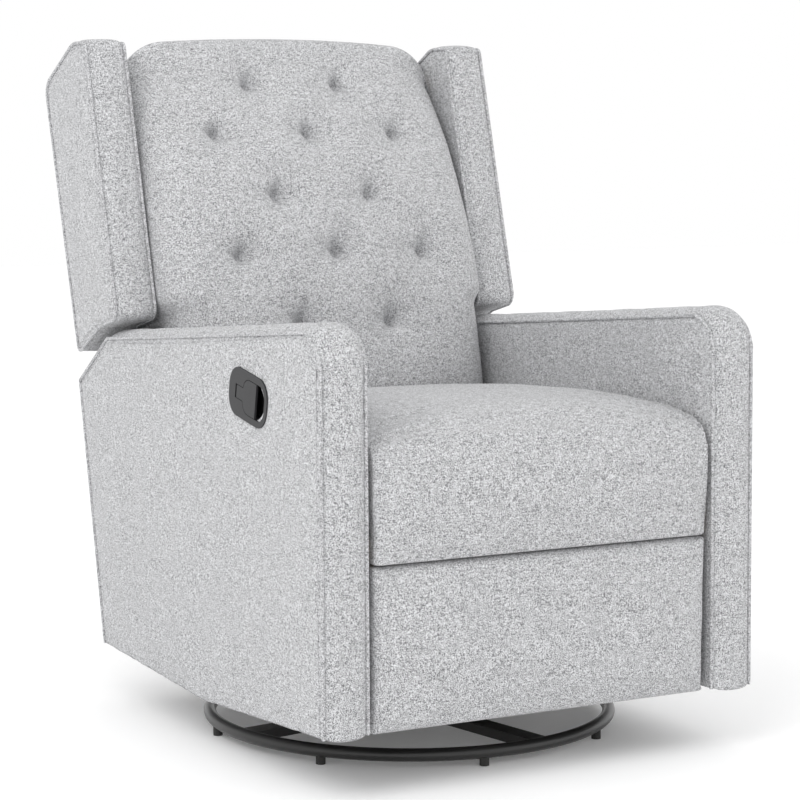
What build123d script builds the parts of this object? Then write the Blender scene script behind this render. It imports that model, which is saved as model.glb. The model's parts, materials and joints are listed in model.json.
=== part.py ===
from build123d import *
import math
import os

# Glider nursery chair: a swivel, gliding, reclining wingback with a footrest.
# Millimetres, +Z up, the sitter faces -Y and the sitter's right arm is on -X.
# Shapes are made about the swivel axis at y = 0, then moved so that the origin
# is the middle of the whole chair's footprint, at the floor.

# Arms
ARM_OUTER = 350.0          # outer face, from the middle plane
ARM_INNER = 282.0          # inner face, from the middle plane
ARM_FRONT = 388.5          # front face, ahead of the swivel axis
ARM_FRONT_LEAN = 8.5       # how far the front face leans back at the top
ARM_FRONT_LOW = 90.0       # height of the front bottom corner
ARM_BELLY_Y, ARM_BELLY_Z = -9.0, 68.0      # lowest point of the side
ARM_REAR_LOW_Y, ARM_REAR_LOW_Z = 357.0, 87.0
ARM_REAR_HIGH_Y, ARM_REAR_HIGH_Z = 446.0, 497.0
ARM_TOP_REAR_Y, ARM_TOP_REAR_Z = 333.0, 577.0
ARM_TOP_FRONT = 640.0      # height of the front top corner
ARM_FRONT_RADIUS = 60.0
ARM_PAD = 14.0             # padding over the arm frame
ARM_FRAME = 18.0           # arm frame board
ARM_HOLLOW = 22.0          # free space beside the board, where the cable runs

# Seat
SEAT_HALF = 271.0
SEAT_BOTTOM = 316.0        # underside of the front lip
SEAT_LIP = 25.0            # thickness of the front lip
SEAT_DECK = 354.0          # underside of the cushion behind the lip
SEAT_REAR = 145.0
SEAT_TOP_REAR = 484.0
SEAT_TOP_MID = 506.0
SEAT_TOP_MID_Y = -212.0
SEAT_TOP_FRONT = 448.0     # where the top starts to roll over the front
RAIL_DEEP, RAIL_HIGH = 25.0, 32.0
RAIL_GAP = 1.0             # lip to front rail
SPRING_WIRE = 3.6
SPRING_COUNT = 5
SPRING_PITCH = 96.0
SPRING_WAVE = 26.0         # half the sideways swing of a spring
SPRING_BENDS = 18

# Base
RING_R = 303.0
RING_TUBE = 9.5
PAD_H, PAD_R = 10.0, 7.0
PAD_COUNT = 8
PAD_TURN = -9.0            # degrees from the chair's axes at rest
BAR_W, BAR_H = 32.0, 14.0
BAR_TURN = 9.0
PLATE_T = 5.0
LOWER_PLATE = 200.0
UPPER_PLATE = 230.0
KING_R = 10.0
RUN_CLEAR = 0.06           # radial running clearance of pins and shafts
BALL_R = 4.0
BALL_COUNT = 24
BALL_PITCH_R = 78.0
BALL_CLEAR = 0.3
CAGE_T = 3.0

# Glider
FRAME_X, FRAME_T = 228.0, 3.0      # side plates of the swivel frame
FRAME_HALF_LOW, FRAME_HALF_TOP = 125.0, 112.0
FRAME_TOP = 240.0
CROSS_W, CROSS_H, CROSS_WALL = 30.0, 25.0, 2.0
LINK_T = 4.0
LINK_R = 12.0
LINK_GAP = 2.0
GLIDE_LINK = 130.0
GLIDE_TOP_Z = 224.0
GLIDE_HALF = 95.0          # front and rear links from the swivel axis
PIN_R = 4.0
BRACKET_T = 3.0
BRACKET_HALF, BRACKET_BACK = 118.0, 125.0
BRACKET_FLANGE_Y, BRACKET_FLANGE_Z = -98.0, 200.0
BRACKET_LOW = 80.0

# Carriage
SIDE_T = 3.0
TUBE_R, TUBE_WALL = 12.5, 2.0
FRONT_TUBE_Y, FRONT_TUBE_Z = -150.0, 288.0
REAR_TUBE_Y, REAR_TUBE_Z = 235.0, 150.0
VALANCE_T = 9.0
VALANCE_LOW, VALANCE_TOP = 90.0, 288.0
VALANCE_INSET = 6.0

# Recline and back, laid out in the back's own leaning plane:
# depth is towards the rear, height is up along the back, from the recline pivot.
PIVOT_Y, PIVOT_Z = 250.0, 350.0
PIVOT_R = 6.0
BACK_LEAN = 15.2
BACK_HALF, BACK_HALF_LOW = 288.0, 271.0
BACK_BOTTOM = 36.0
BACK_TOP = 712.0
BACK_CAP = BACK_TOP - 28   # top of the padding where it meets the outside back
BACK_FRONT_LOW, BACK_FRONT_BELLY, BACK_FRONT_TOP = -104.0, -126.0, -52.0
BACK_BELLY_W, BACK_SHOULDER_W = 225.0, BACK_TOP - 87
CUSHION_REAR = 38.0
WEB_T, WEB_W = 2.0, 50.0
WEB_COUNT, WEB_LOW = 5, 110.0
WEB_PITCH = (BACK_TOP - WEB_LOW - 42) / WEB_COUNT
POST_DEEP, POST_W = 68.0, 30.0
BACK_GAP = 1.0             # cushion to the outside back and to the wings
OUTER_REAR = 131.0
OUTER_T = 20.0
OUTER_BOTTOM, OUTER_TOP = -45.0, BACK_TOP - 48
BACK_RAIL = 45.0
WING_IN, WING_OUT = 291.0, 360.0
WING_FRONT = -42.0
WING_BOTTOM, WING_REAR_BOTTOM = 251.0, 226.0   # the cushion widens at the wings too
WING_BEND = 28.0           # depth at which the underside turns down
WING_TOP_FRONT, WING_TOP_MID, WING_TOP_REAR = BACK_TOP - 18, BACK_TOP - 4, BACK_TOP - 45
WING_TOP_MID_D = 5.0
WING_RADIUS = 18.0
WING_BOARD = 18.0
WING_PAD = 30.0
BRACKET_ARM = 46.0         # width of the recline brackets

# Footrest linkage, in the side plane; angles are from +Y towards +Z.
FOOT_HALF = 271.0
FOOT_LOW, FOOT_TOP = 87.0, 313.5
FOOT_PAD = 27.0
FOOT_BOARD = 15.0
FOOT_EDGE = 9.0
FOOT_LINK_R = 9.0
LAYER_GAP = 1.5
MAIN_PIVOT_Z = 284.0
MAIN_LINK, MAIN_ANGLE = 195.0, -62.0
FRONT_LINK, FRONT_ANGLE = 190.0, -184.0
PARALLEL = 30.0            # main link to rear control link
CRANK, CRANK_TURN = 21.8, 112.2    # crank end on the main link, from its line
HORN, HORN_ANGLE = 35.5, 37.5      # outer pivot on the footrest bracket
OPEN_CLEAR = 1.2           # radial clearance of the footrest's open pivots
SYNC_R, SYNC_RIM = 7.0, 4.0
SYNC_AT = 68.0             # along the main link
SYNC_OFF = 20.0            # ahead of it, clear of the rear control links
RIVET_R = 4.0
FLANGE_W = 28.0

# Release handle, in the outer face of the arm on -X. Its u axis runs to the rear
# along the bezel and its v axis runs down across it.
HANDLE_Y, HANDLE_Z = -171.0, 527.0
HANDLE_TILT = 10.0
BEZEL_U, BEZEL_V, BEZEL_ROUND = 59.0, 34.5, 28.0
BEZEL_T = 3.0
CUP_DEEP, CUP_WALL = 17.0, 2.0
HAND_AT, HAND_U, HAND_V, HAND_ROUND = -17.75, 33.75, 25.0, 18.0   # where the fingers go
TAB_END, TAB_HALF = 39.0, 10.0
PADDLE_T, PADDLE_CLEAR = 3.0, 0.8
RECESS_AT = -24.5          # front edge of the paddle
BARREL_R, HINGE_R = 3.2, 1.5
HINGE_U, HINGE_DEEP = 35.0, 1.5
CABLE_R = 2.5
CABLE_Y, CABLE_LOW_Y, CABLE_LOW = -159.0, -156.0, 262.0   # where it runs down, and turns in
CABLE_BENDS = [10.0, 120.0, 120.0, 14.0]

# Derived places
LEAN = math.radians(BACK_LEAN)
REACH_REAR = PIVOT_Y + OUTER_REAR * math.cos(LEAN) + WING_TOP_REAR * math.sin(LEAN)
AXIS_Y = (ARM_FRONT - REACH_REAR) / 2
RING_Z = PAD_H + RING_TUBE
BAR_TOP = RING_Z + BAR_H / 2
LOWER_TOP = BAR_TOP + PLATE_T
UPPER_LOW = LOWER_TOP + 2 * BALL_R + BALL_CLEAR
UPPER_TOP = UPPER_LOW + PLATE_T
GLIDE_LOW_Z = GLIDE_TOP_Z - GLIDE_LINK
LINK_X = FRAME_X + FRAME_T + LINK_GAP
BRACKET_X = LINK_X + LINK_T + LINK_GAP
SIDE_X = ARM_INNER - SIDE_T
OUTER_X = SIDE_X - LAYER_GAP - LINK_T
MAIN_X = OUTER_X - LAYER_GAP - LINK_T
FRONT_X = MAIN_X - LAYER_GAP - LINK_T
REAR_X = FRONT_X - LAYER_GAP - LINK_T
POST_FRONT = CUSHION_REAR + WEB_T
POST_REAR = POST_FRONT + POST_DEEP
BACK_BRACKET_X = SIDE_X - 2 * SIDE_T
POST_OUT = BACK_BRACKET_X
FOOT_REAR = -ARM_FRONT + FOOT_PAD + FOOT_BOARD


def polar(start, length, angle):
    """A point at a length and an angle in degrees from a (y, z) point."""
    turn = math.radians(angle)
    return (start[0] + length * math.cos(turn), start[1] + length * math.sin(turn))


# The toe of the front links stands just behind the closed footrest.
TOE_Y = FOOT_REAR + FOOT_LINK_R + BRACKET_T
F1 = (TOE_Y - polar((0, 0), MAIN_LINK, MAIN_ANGLE)[0] - polar((0, 0), FRONT_LINK, FRONT_ANGLE)[0],
      MAIN_PIVOT_Z)
F2 = polar(F1, PARALLEL, FRONT_ANGLE + 180)
ELBOW = polar(F1, MAIN_LINK, MAIN_ANGLE)
HEEL = polar(ELBOW, PARALLEL, FRONT_ANGLE + 180)
TOE = polar(ELBOW, FRONT_LINK, FRONT_ANGLE)
CRANK_END = polar(ELBOW, CRANK, MAIN_ANGLE + CRANK_TURN)
HORN_END = polar(TOE, HORN, HORN_ANGLE)
SYNC_ROOT = polar(F1, SYNC_AT, MAIN_ANGLE)
SYNC_END = polar(SYNC_ROOT, SYNC_OFF, MAIN_ANGLE - 90)


def side_plane(x):
    """The plane at x whose local axes are the chair's Y and Z."""
    return Plane(origin=(x, 0, 0), x_dir=(0, 1, 0), z_dir=(1, 0, 0))


def slab(points, x_low, x_high):
    """A flat plate with a (y, z) outline between two x values."""
    face = side_plane(x_low) * make_face(Polyline(*points, close=True))
    return extrude(face, amount=x_high - x_low, dir=(1, 0, 0))


def rod(radius, x_low, x_high, point):
    """A round bar along X through a (y, z) point."""
    start = Plane(origin=(x_low, point[0], point[1]), z_dir=(1, 0, 0))
    return extrude(start * Circle(radius), amount=x_high - x_low)


def pair(make):
    """The same piece on both sides, from a function of the side's sign."""
    return Compound(children=[make(-1), make(1)])


def across(side, x_low, x_high):
    """Two x values on one side, in rising order."""
    return sorted((side * x_low, side * x_high))


def bar_link(points, side, x_low, thick, radius, bores):
    """A flat link with round ends through its points, bored at each."""
    low, high = across(side, x_low, x_low + thick)
    body = rod(radius, low, high, points[0])
    for start, end in zip(points, points[1:]):
        run = math.dist(start, end)
        turn = math.degrees(math.atan2(end[1] - start[1], end[0] - start[0]))
        place = side_plane(low) * Pos(*start) * Rot(0, 0, turn)
        web = extrude(place * Pos(run / 2, 0) * Rectangle(run, 2 * radius), amount=thick, dir=(1, 0, 0))
        body = body + web + rod(radius, low, high, end)
    for point, bore in bores:
        body = body - rod(bore, low, high, point)
    return body


def box(x_low, x_high, y_low, y_high, z_low, z_high):
    """A box from its six limits."""
    low = (Align.MIN, Align.MIN, Align.MIN)
    size = (x_high - x_low, y_high - y_low, z_high - z_low)
    return Pos(x_low, y_low, z_low) * Box(*size, align=low)


# ---------------------------------------------------------------- base


def base_ring():
    return Pos(0, 0, RING_Z) * Torus(RING_R, RING_TUBE)


def floor_pads():
    pads = []
    for index in range(PAD_COUNT):
        turn = Rot(0, 0, PAD_TURN + index * 360 / PAD_COUNT)
        low = (Align.CENTER, Align.CENTER, Align.MIN)
        pads.append(turn * Pos(RING_R, 0, 0) * Cylinder(PAD_R, RING_Z, align=low) - base_ring())
    return Compound(children=[pad.solid() for pad in pads])


def base_cross_bars():
    one = Box(2 * RING_R, BAR_W, BAR_H)
    cross = Pos(0, 0, RING_Z) * Rot(0, 0, BAR_TURN) * (one + Rot(0, 0, 90) * one)
    return cross - base_ring()


def swivel_lower_plate():
    low = (Align.CENTER, Align.CENTER, Align.MIN)
    plate = Pos(0, 0, BAR_TOP) * Rot(0, 0, BAR_TURN) * Box(LOWER_PLATE, LOWER_PLATE, PLATE_T, align=low)
    return plate - Pos(0, 0, BAR_TOP) * Cylinder(KING_R, PLATE_T, align=low)


def king_pin():
    low = (Align.CENTER, Align.CENTER, Align.MIN)
    height = UPPER_TOP + KING_R - BAR_TOP
    return Pos(0, 0, BAR_TOP) * Cylinder(KING_R, height, align=low)


def king_nut():
    low = UPPER_TOP + BALL_CLEAR
    bore = Cylinder(KING_R, KING_R, align=(Align.CENTER, Align.CENTER, Align.MIN))
    outline = extrude(RegularPolygon(1.8 * KING_R, 6), amount=UPPER_TOP + KING_R - low)
    return Pos(0, 0, low) * (outline - bore)


def bearing_balls():
    balls = []
    for index in range(BALL_COUNT):
        turn = Rot(0, 0, index * 360 / BALL_COUNT)
        balls.append(turn * Pos(BALL_PITCH_R, 0, LOWER_TOP + BALL_R) * Sphere(BALL_R))
    return Compound(children=balls)


def ball_cage():
    low = LOWER_TOP + BALL_R - CAGE_T / 2
    ring = Cylinder(BALL_PITCH_R + 2 * BALL_R, CAGE_T) - Cylinder(BALL_PITCH_R - 2 * BALL_R, CAGE_T)
    for index in range(BALL_COUNT):
        turn = Rot(0, 0, index * 360 / BALL_COUNT)
        ring = ring - turn * Pos(BALL_PITCH_R, 0, 0) * Cylinder(BALL_R + BALL_CLEAR, CAGE_T)
    return Pos(0, 0, low + CAGE_T / 2) * ring


# ---------------------------------------------------------------- swivel frame


def swivel_upper_plate():
    low = (Align.CENTER, Align.CENTER, Align.MIN)
    plate = Box(UPPER_PLATE, UPPER_PLATE, PLATE_T, align=low)
    return Pos(0, 0, UPPER_LOW) * (plate - Cylinder(KING_R + RUN_CLEAR, PLATE_T, align=low))


def glider_cross_rails():
    rails = []
    for end in (-1, 1):
        outer = Box(2 * FRAME_X, CROSS_W, CROSS_H)
        inner = Box(2 * FRAME_X, CROSS_W - 2 * CROSS_WALL, CROSS_H - 2 * CROSS_WALL)
        rails.append(Pos(0, end * GLIDE_HALF, UPPER_TOP + CROSS_H / 2) * (outer - inner))
    return Compound(children=rails)


def swivel_side_plate(side):
    low, high = across(side, FRAME_X, FRAME_X + FRAME_T)
    outline = [(-FRAME_HALF_LOW, UPPER_TOP), (FRAME_HALF_LOW, UPPER_TOP),
               (FRAME_HALF_TOP, FRAME_TOP), (-FRAME_HALF_TOP, FRAME_TOP)]
    plate = slab(outline, low, high)
    for end in (-1, 1):
        plate = plate - rod(PIN_R, low, high, (end * GLIDE_HALF, GLIDE_TOP_Z))
    return plate


def link_pins(x_low, x_high, height):
    """Four short pivot pins, one for each hanging link."""
    pins = []
    for side in (-1, 1):
        low, high = across(side, x_low, x_high)
        for end in (-1, 1):
            pins.append(rod(PIN_R, low, high, (end * GLIDE_HALF, height)))
    return Compound(children=pins)


def glide_link(side, end):
    points = [(end * GLIDE_HALF, GLIDE_TOP_Z), (end * GLIDE_HALF, GLIDE_LOW_Z)]
    bores = [(point, PIN_R + RUN_CLEAR) for point in points]
    return bar_link(points, side, LINK_X, LINK_T, LINK_R, bores)


# ---------------------------------------------------------------- carriage


def glide_bracket(side):
    low, high = across(side, BRACKET_X, BRACKET_X + BRACKET_T)
    outline = [(-BRACKET_HALF, BRACKET_LOW), (BRACKET_BACK, BRACKET_LOW),
               (BRACKET_BACK, BRACKET_FLANGE_Z), (BRACKET_FLANGE_Y, BRACKET_FLANGE_Z),
               (-BRACKET_HALF, GLIDE_LOW_Z + LINK_R)]
    web = slab(outline, low, high)
    for end in (-1, 1):
        web = web - rod(PIN_R, low, high, (end * GLIDE_HALF, GLIDE_LOW_Z))
    inner, outer = across(side, BRACKET_X, SIDE_X)
    flange = box(inner, outer, BRACKET_FLANGE_Y, BRACKET_BACK,
                 BRACKET_FLANGE_Z, BRACKET_FLANGE_Z + BRACKET_T)
    return web + flange


def side_plate_outline():
    """The side plate, with its front arm above the links and its rear arm at the recline pivot."""
    rail_front = -ARM_FRONT + SEAT_LIP + RAIL_GAP
    top = SEAT_DECK - SPRING_WIRE
    return [(rail_front, top - RAIL_HIGH - 4), (F1[0] - 22, F1[1] - 22), (F2[0] + 10, F2[1] - 26),
            (BRACKET_FLANGE_Y, BRACKET_FLANGE_Z - 14), (REAR_TUBE_Y - 20, REAR_TUBE_Z - 24),
            (REAR_TUBE_Y + 24, REAR_TUBE_Z - 20), (PIVOT_Y + 24, PIVOT_Z - 16),
            (PIVOT_Y + 18, PIVOT_Z + 20), (PIVOT_Y - 20, PIVOT_Z + 20), (SEAT_REAR, top), (rail_front, top)]


def mechanism_plate(side):
    low, high = across(side, SIDE_X, ARM_INNER)
    plate = slab(side_plate_outline(), low, high)
    plate = plate - rod(PIVOT_R, low, high, (PIVOT_Y, PIVOT_Z))
    for point in (F1, F2):
        plate = plate - rod(RIVET_R, low, high, point)
    if side < 0:
        plate = plate - rod(CABLE_R, low, high, cable_route()[-1][1:])
    return plate


def cross_tubes():
    tubes = []
    for point in ((FRONT_TUBE_Y, FRONT_TUBE_Z), (REAR_TUBE_Y, REAR_TUBE_Z)):
        outer = rod(TUBE_R, -SIDE_X, SIDE_X, point)
        tubes.append(outer - rod(TUBE_R - TUBE_WALL, -SIDE_X, SIDE_X, point))
    return Compound(children=tubes)


def seat_rail(front_y):
    top = SEAT_DECK - SPRING_WIRE
    return box(-SIDE_X, SIDE_X, front_y, front_y + RAIL_DEEP, top - RAIL_HIGH, top)


def front_seat_rail():
    return seat_rail(-ARM_FRONT + SEAT_LIP + RAIL_GAP)


def rear_seat_rail():
    return seat_rail(SEAT_REAR - RAIL_DEEP)


def seat_springs():
    """Flat zigzag springs from the front rail to the rear rail."""
    start = -ARM_FRONT + SEAT_LIP + RAIL_GAP + SPRING_WIRE
    step = (SEAT_REAR - 2 * SPRING_WIRE - start) / SPRING_BENDS
    springs = []
    for index in range(SPRING_COUNT):
        middle = (index - (SPRING_COUNT - 1) / 2) * SPRING_PITCH
        points = [(middle, start)]
        for bend in range(1, SPRING_BENDS):
            swing = SPRING_WAVE if bend % 2 else -SPRING_WAVE
            points.append((middle + swing, start + bend * step))
        points.append((middle, start + SPRING_BENDS * step))
        path = FilletPolyline(*[(x, y, 0) for x, y in points], radius=0.3 * step)
        wire = sweep(Plane(origin=path @ 0, z_dir=path % 0) * Circle(SPRING_WIRE / 2), path=path)
        springs.append(Pos(0, 0, SEAT_DECK - SPRING_WIRE / 2) * wire)
    return Compound(children=[spring.solid() for spring in springs])


def seat_cushion():
    front = -ARM_FRONT
    lip = front + SEAT_LIP
    top = Spline((SEAT_REAR, SEAT_TOP_REAR), (SEAT_TOP_MID_Y, SEAT_TOP_MID), (front, SEAT_TOP_FRONT),
                 tangents=[(-1, 0.06), (0, -1)])
    rest = Polyline((front, SEAT_TOP_FRONT), (front, SEAT_BOTTOM), (lip, SEAT_BOTTOM), (lip, SEAT_DECK),
                    (SEAT_REAR, SEAT_DECK), (SEAT_REAR, SEAT_TOP_REAR))
    face = side_plane(-SEAT_HALF) * make_face(top + rest)
    return extrude(face, amount=2 * SEAT_HALF, dir=(1, 0, 0))


def arm_outline():
    top_front_y = -ARM_FRONT + ARM_FRONT_LEAN
    return [(-ARM_FRONT, ARM_FRONT_LOW), (ARM_BELLY_Y, ARM_BELLY_Z),
            (ARM_REAR_LOW_Y, ARM_REAR_LOW_Z), (ARM_REAR_HIGH_Y, ARM_REAR_HIGH_Z),
            (ARM_TOP_REAR_Y, ARM_TOP_REAR_Z), (top_front_y, ARM_TOP_FRONT)]


def arm_face():
    """The arm seen from the side, with its rounded front top corner."""
    outline = make_face(Polyline(*arm_outline(), close=True))
    corner = outline.vertices().sort_by(Axis.Y)[-1]
    return fillet(corner, radius=ARM_FRONT_RADIUS)


def inset_arm_face(inset):
    return offset(arm_face(), amount=-inset, kind=Kind.INTERSECTION)


def cable_hole(x_low, x_high):
    """Where the cable passes in through the arm's board."""
    return rod(2 * CABLE_R, x_low, x_high, cable_route()[-1][1:])


def arm_frame(side):
    low, high = across(side, ARM_INNER, ARM_INNER + ARM_FRAME)
    board = extrude(side_plane(low) * inset_arm_face(ARM_PAD), amount=ARM_FRAME, dir=(1, 0, 0))
    if side < 0:
        board = board - cable_hole(low, high)
    return board


def arm_cover(side):
    low, high = across(side, ARM_INNER, ARM_OUTER)
    cover = extrude(side_plane(low) * arm_face(), amount=ARM_OUTER - ARM_INNER, dir=(1, 0, 0))
    pocket_low, pocket_high = across(side, ARM_INNER, ARM_INNER + ARM_FRAME + ARM_HOLLOW)
    depth = pocket_high - pocket_low
    cover = cover - extrude(side_plane(pocket_low) * inset_arm_face(ARM_PAD), amount=depth, dir=(1, 0, 0))
    if side < 0:
        start = cable_route()[0]
        cover = cover - handle_place() * cup_blank() - rod(2 * CABLE_R, start[0], pocket_low, start[1:])
    return cover


def rear_valance():
    """Upholstered panel across the rear, below the back, between the arms."""
    slope = (ARM_REAR_HIGH_Y - ARM_REAR_LOW_Y) / (ARM_REAR_HIGH_Z - ARM_REAR_LOW_Z)
    rear_low = ARM_REAR_LOW_Y + slope * (VALANCE_LOW - ARM_REAR_LOW_Z) - VALANCE_INSET
    rear_top = ARM_REAR_LOW_Y + slope * (VALANCE_TOP - ARM_REAR_LOW_Z) - VALANCE_INSET
    outline = [(rear_low, VALANCE_LOW), (rear_top, VALANCE_TOP),
               (rear_top - VALANCE_T, VALANCE_TOP), (rear_low - VALANCE_T, VALANCE_LOW)]
    return slab(outline, -ARM_INNER, ARM_INNER)


def recline_bolts():
    """The bolts that carry the back, fixed in the side plates."""
    def bolt(side):
        low, high = across(side, BACK_BRACKET_X, ARM_INNER)
        return rod(PIVOT_R, low, high, (PIVOT_Y, PIVOT_Z))
    return pair(bolt)


# ---------------------------------------------------------------- footrest


def footrest_pivot_rivets():
    rivets = []
    for side in (-1, 1):
        rivets.append(rod(RIVET_R, *across(side, MAIN_X, ARM_INNER), F1))
        rivets.append(rod(RIVET_R, *across(side, REAR_X, ARM_INNER), F2))
    return Compound(children=rivets)


def main_links():
    def link(side):
        bores = [(F1, RIVET_R + RUN_CLEAR), (ELBOW, RIVET_R), (CRANK_END, RIVET_R)]
        body = bar_link([F1, ELBOW, CRANK_END], side, MAIN_X, LINK_T, FOOT_LINK_R, bores)
        lug = bar_link([SYNC_ROOT, SYNC_END], side, MAIN_X, LINK_T, SYNC_R + SYNC_RIM, [])
        return body + lug - rod(SYNC_R, *across(side, MAIN_X, MAIN_X + LINK_T), SYNC_END)
    return pair(link)


def footrest_sync_bar():
    reach = MAIN_X + LINK_T
    return rod(SYNC_R, -reach, reach, SYNC_END)


def rear_control_links():
    def link(side):
        bores = [(F2, RIVET_R + RUN_CLEAR), (HEEL, RIVET_R + OPEN_CLEAR)]
        return bar_link([F2, HEEL], side, REAR_X, LINK_T, FOOT_LINK_R, bores)
    return pair(link)


def front_links():
    def link(side):
        bores = [(HEEL, RIVET_R), (ELBOW, RIVET_R + RUN_CLEAR), (TOE, RIVET_R)]
        return bar_link([HEEL, TOE], side, FRONT_X, LINK_T, FOOT_LINK_R, bores)
    return pair(link)


def outer_control_links():
    def link(side):
        bores = [(CRANK_END, RIVET_R + RUN_CLEAR), (HORN_END, RIVET_R)]
        return bar_link([CRANK_END, HORN_END], side, OUTER_X, LINK_T, FOOT_LINK_R, bores)
    return pair(link)


def main_link_rivets():
    """Rivets that turn with the main links: the elbow and the crank end."""
    rivets = []
    for side in (-1, 1):
        rivets.append(rod(RIVET_R, *across(side, FRONT_X, MAIN_X + LINK_T), ELBOW))
        rivets.append(rod(RIVET_R, *across(side, MAIN_X, OUTER_X + LINK_T), CRANK_END))
    return Compound(children=rivets)


def front_link_rivets():
    """Rivets that turn with the front links: the heel and the toe."""
    rivets = []
    for side in (-1, 1):
        rivets.append(rod(RIVET_R, *across(side, REAR_X, FRONT_X + LINK_T), HEEL))
        rivets.append(rod(RIVET_R, *across(side, FRONT_X, MAIN_X + LINK_T), TOE))
    return Compound(children=rivets)


def outer_link_rivets():
    return pair(lambda side: rod(RIVET_R, *across(side, MAIN_X, OUTER_X + LINK_T), HORN_END))


def footrest_brackets():
    def bracket(side):
        bores = [(TOE, RIVET_R + RUN_CLEAR), (HORN_END, RIVET_R + OPEN_CLEAR)]
        low, high = across(side, MAIN_X, MAIN_X + LINK_T)
        plate = bar_link([TOE, HORN_END], side, MAIN_X, LINK_T, FOOT_LINK_R, [])
        plate = plate + box(low, high, FOOT_REAR, TOE[0], TOE[1] - FOOT_LINK_R, HORN_END[1] + FOOT_LINK_R)
        for point, bore in bores:
            plate = plate - rod(bore, low, high, point)
        inner, outer = across(side, MAIN_X - FLANGE_W, MAIN_X)
        flange = box(inner, outer, FOOT_REAR, FOOT_REAR + BRACKET_T, TOE[1] + 3 * FOOT_LINK_R,
                     HORN_END[1] + 2 * FLANGE_W)
        foot = box(*across(side, MAIN_X - FLANGE_W, MAIN_X + LINK_T), FOOT_REAR, FOOT_REAR + BRACKET_T,
                   TOE[1] + 3 * FOOT_LINK_R, HORN_END[1] + FOOT_LINK_R)
        return plate + flange + foot
    return pair(bracket)


def footrest_board():
    edge = FOOT_EDGE
    return box(-FOOT_HALF + edge, FOOT_HALF - edge, FOOT_REAR - FOOT_BOARD, FOOT_REAR,
               FOOT_LOW + edge, FOOT_TOP - edge)


def footrest_cushion():
    pad = box(-FOOT_HALF, FOOT_HALF, -ARM_FRONT, FOOT_REAR, FOOT_LOW, FOOT_TOP)
    return pad - footrest_board()


# ---------------------------------------------------------------- back


def lean(shape):
    """Stands a shape of the back's own plane on the recline pivot at its lean."""
    return Pos(0, PIVOT_Y, PIVOT_Z) * Rot(-BACK_LEAN, 0, 0) * shape


def back_cushion_face():
    front = Spline((BACK_FRONT_LOW, BACK_BOTTOM), (BACK_FRONT_BELLY, BACK_BELLY_W),
                   (BACK_FRONT_TOP, BACK_SHOULDER_W), (-2 * BACK_GAP, BACK_TOP),
                   tangents=[(-0.35, 1), (1, 0.05)])
    cap = OUTER_REAR - OUTER_T - BACK_GAP
    rest = Polyline((-2 * BACK_GAP, BACK_TOP), (CUSHION_REAR, BACK_TOP - BACK_GAP), (cap, BACK_CAP),
                    (cap, WING_TOP_REAR), (CUSHION_REAR, WING_TOP_REAR), (CUSHION_REAR, BACK_BOTTOM),
                    (BACK_FRONT_LOW, BACK_BOTTOM))
    return make_face(front + rest)


def back_cushion():
    face = back_cushion_face()
    wide = extrude(side_plane(-BACK_HALF) * face, amount=2 * BACK_HALF, dir=(1, 0, 0))
    narrow = extrude(side_plane(-BACK_HALF_LOW) * face, amount=2 * BACK_HALF_LOW, dir=(1, 0, 0))
    span = 2 * BACK_TOP
    above = box(-span, span, -span, span, WING_BOTTOM, span)
    return lean(narrow + (wide & above))


def back_post(side):
    low, high = across(side, POST_OUT - POST_W, POST_OUT)
    return lean(box(low, high, POST_FRONT, POST_REAR, BACK_BOTTOM, WING_TOP_REAR - BACK_RAIL))


def back_rails():
    """Bottom, middle and top rails; the upper two reach the wings."""
    inner = POST_OUT - POST_W
    bottom = box(-inner, inner, POST_FRONT, POST_REAR, BACK_BOTTOM, BACK_BOTTOM + BACK_RAIL)
    top = WING_TOP_REAR - BACK_RAIL
    upper = box(-WING_IN, WING_IN, POST_FRONT, POST_REAR, top, top + BACK_RAIL - BACK_GAP)
    middle_low = WING_BOTTOM + WING_PAD
    middle = box(-inner, inner, POST_FRONT, POST_REAR, middle_low, middle_low + BACK_RAIL)
    stubs = [box(*across(side, POST_OUT, WING_IN), POST_FRONT, POST_REAR, middle_low,
                 middle_low + BACK_RAIL) for side in (-1, 1)]
    return Compound(children=[lean(rail) for rail in (bottom, middle, upper, *stubs)])


def back_webbing():
    """Elastic straps stapled across the front of the posts."""
    straps = []
    for index in range(WEB_COUNT):
        low = WEB_LOW + index * WEB_PITCH
        straps.append(lean(box(-POST_OUT, POST_OUT, CUSHION_REAR, POST_FRONT, low, low + WEB_W)))
    return Compound(children=straps)


def back_brackets():
    """Steel arms from the recline bolts up the outside of the posts."""
    def bracket(side):
        low, high = across(side, BACK_BRACKET_X, BACK_BRACKET_X + SIDE_T)
        arm = box(low, high, POST_FRONT, POST_FRONT + BRACKET_ARM, BACK_BOTTOM, WING_REAR_BOTTOM)
        knee = slab([(-PIVOT_R * 3, -PIVOT_R * 2), (PIVOT_R * 3, -PIVOT_R * 3),
                     (POST_FRONT + BRACKET_ARM, BACK_BOTTOM), (POST_FRONT + BRACKET_ARM, BACK_BOTTOM + BRACKET_ARM),
                     (POST_FRONT, BACK_BOTTOM + BRACKET_ARM), (-PIVOT_R * 3, PIVOT_R * 3)], low, high)
        eye = rod(PIVOT_R + RUN_CLEAR, low, high, (0, 0))
        return lean(arm + knee - eye)
    return pair(bracket)


def wing_outline():
    return [(WING_FRONT, WING_BOTTOM), (WING_BEND, WING_BOTTOM), (OUTER_REAR, WING_REAR_BOTTOM),
            (OUTER_REAR, WING_TOP_REAR), (WING_TOP_MID_D, WING_TOP_MID), (WING_FRONT, WING_TOP_FRONT)]


def wing_face():
    face = make_face(Polyline(*wing_outline(), close=True))
    fronts = face.vertices().sort_by(Axis.X)[:2]
    return fillet(fronts, radius=WING_RADIUS)


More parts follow.
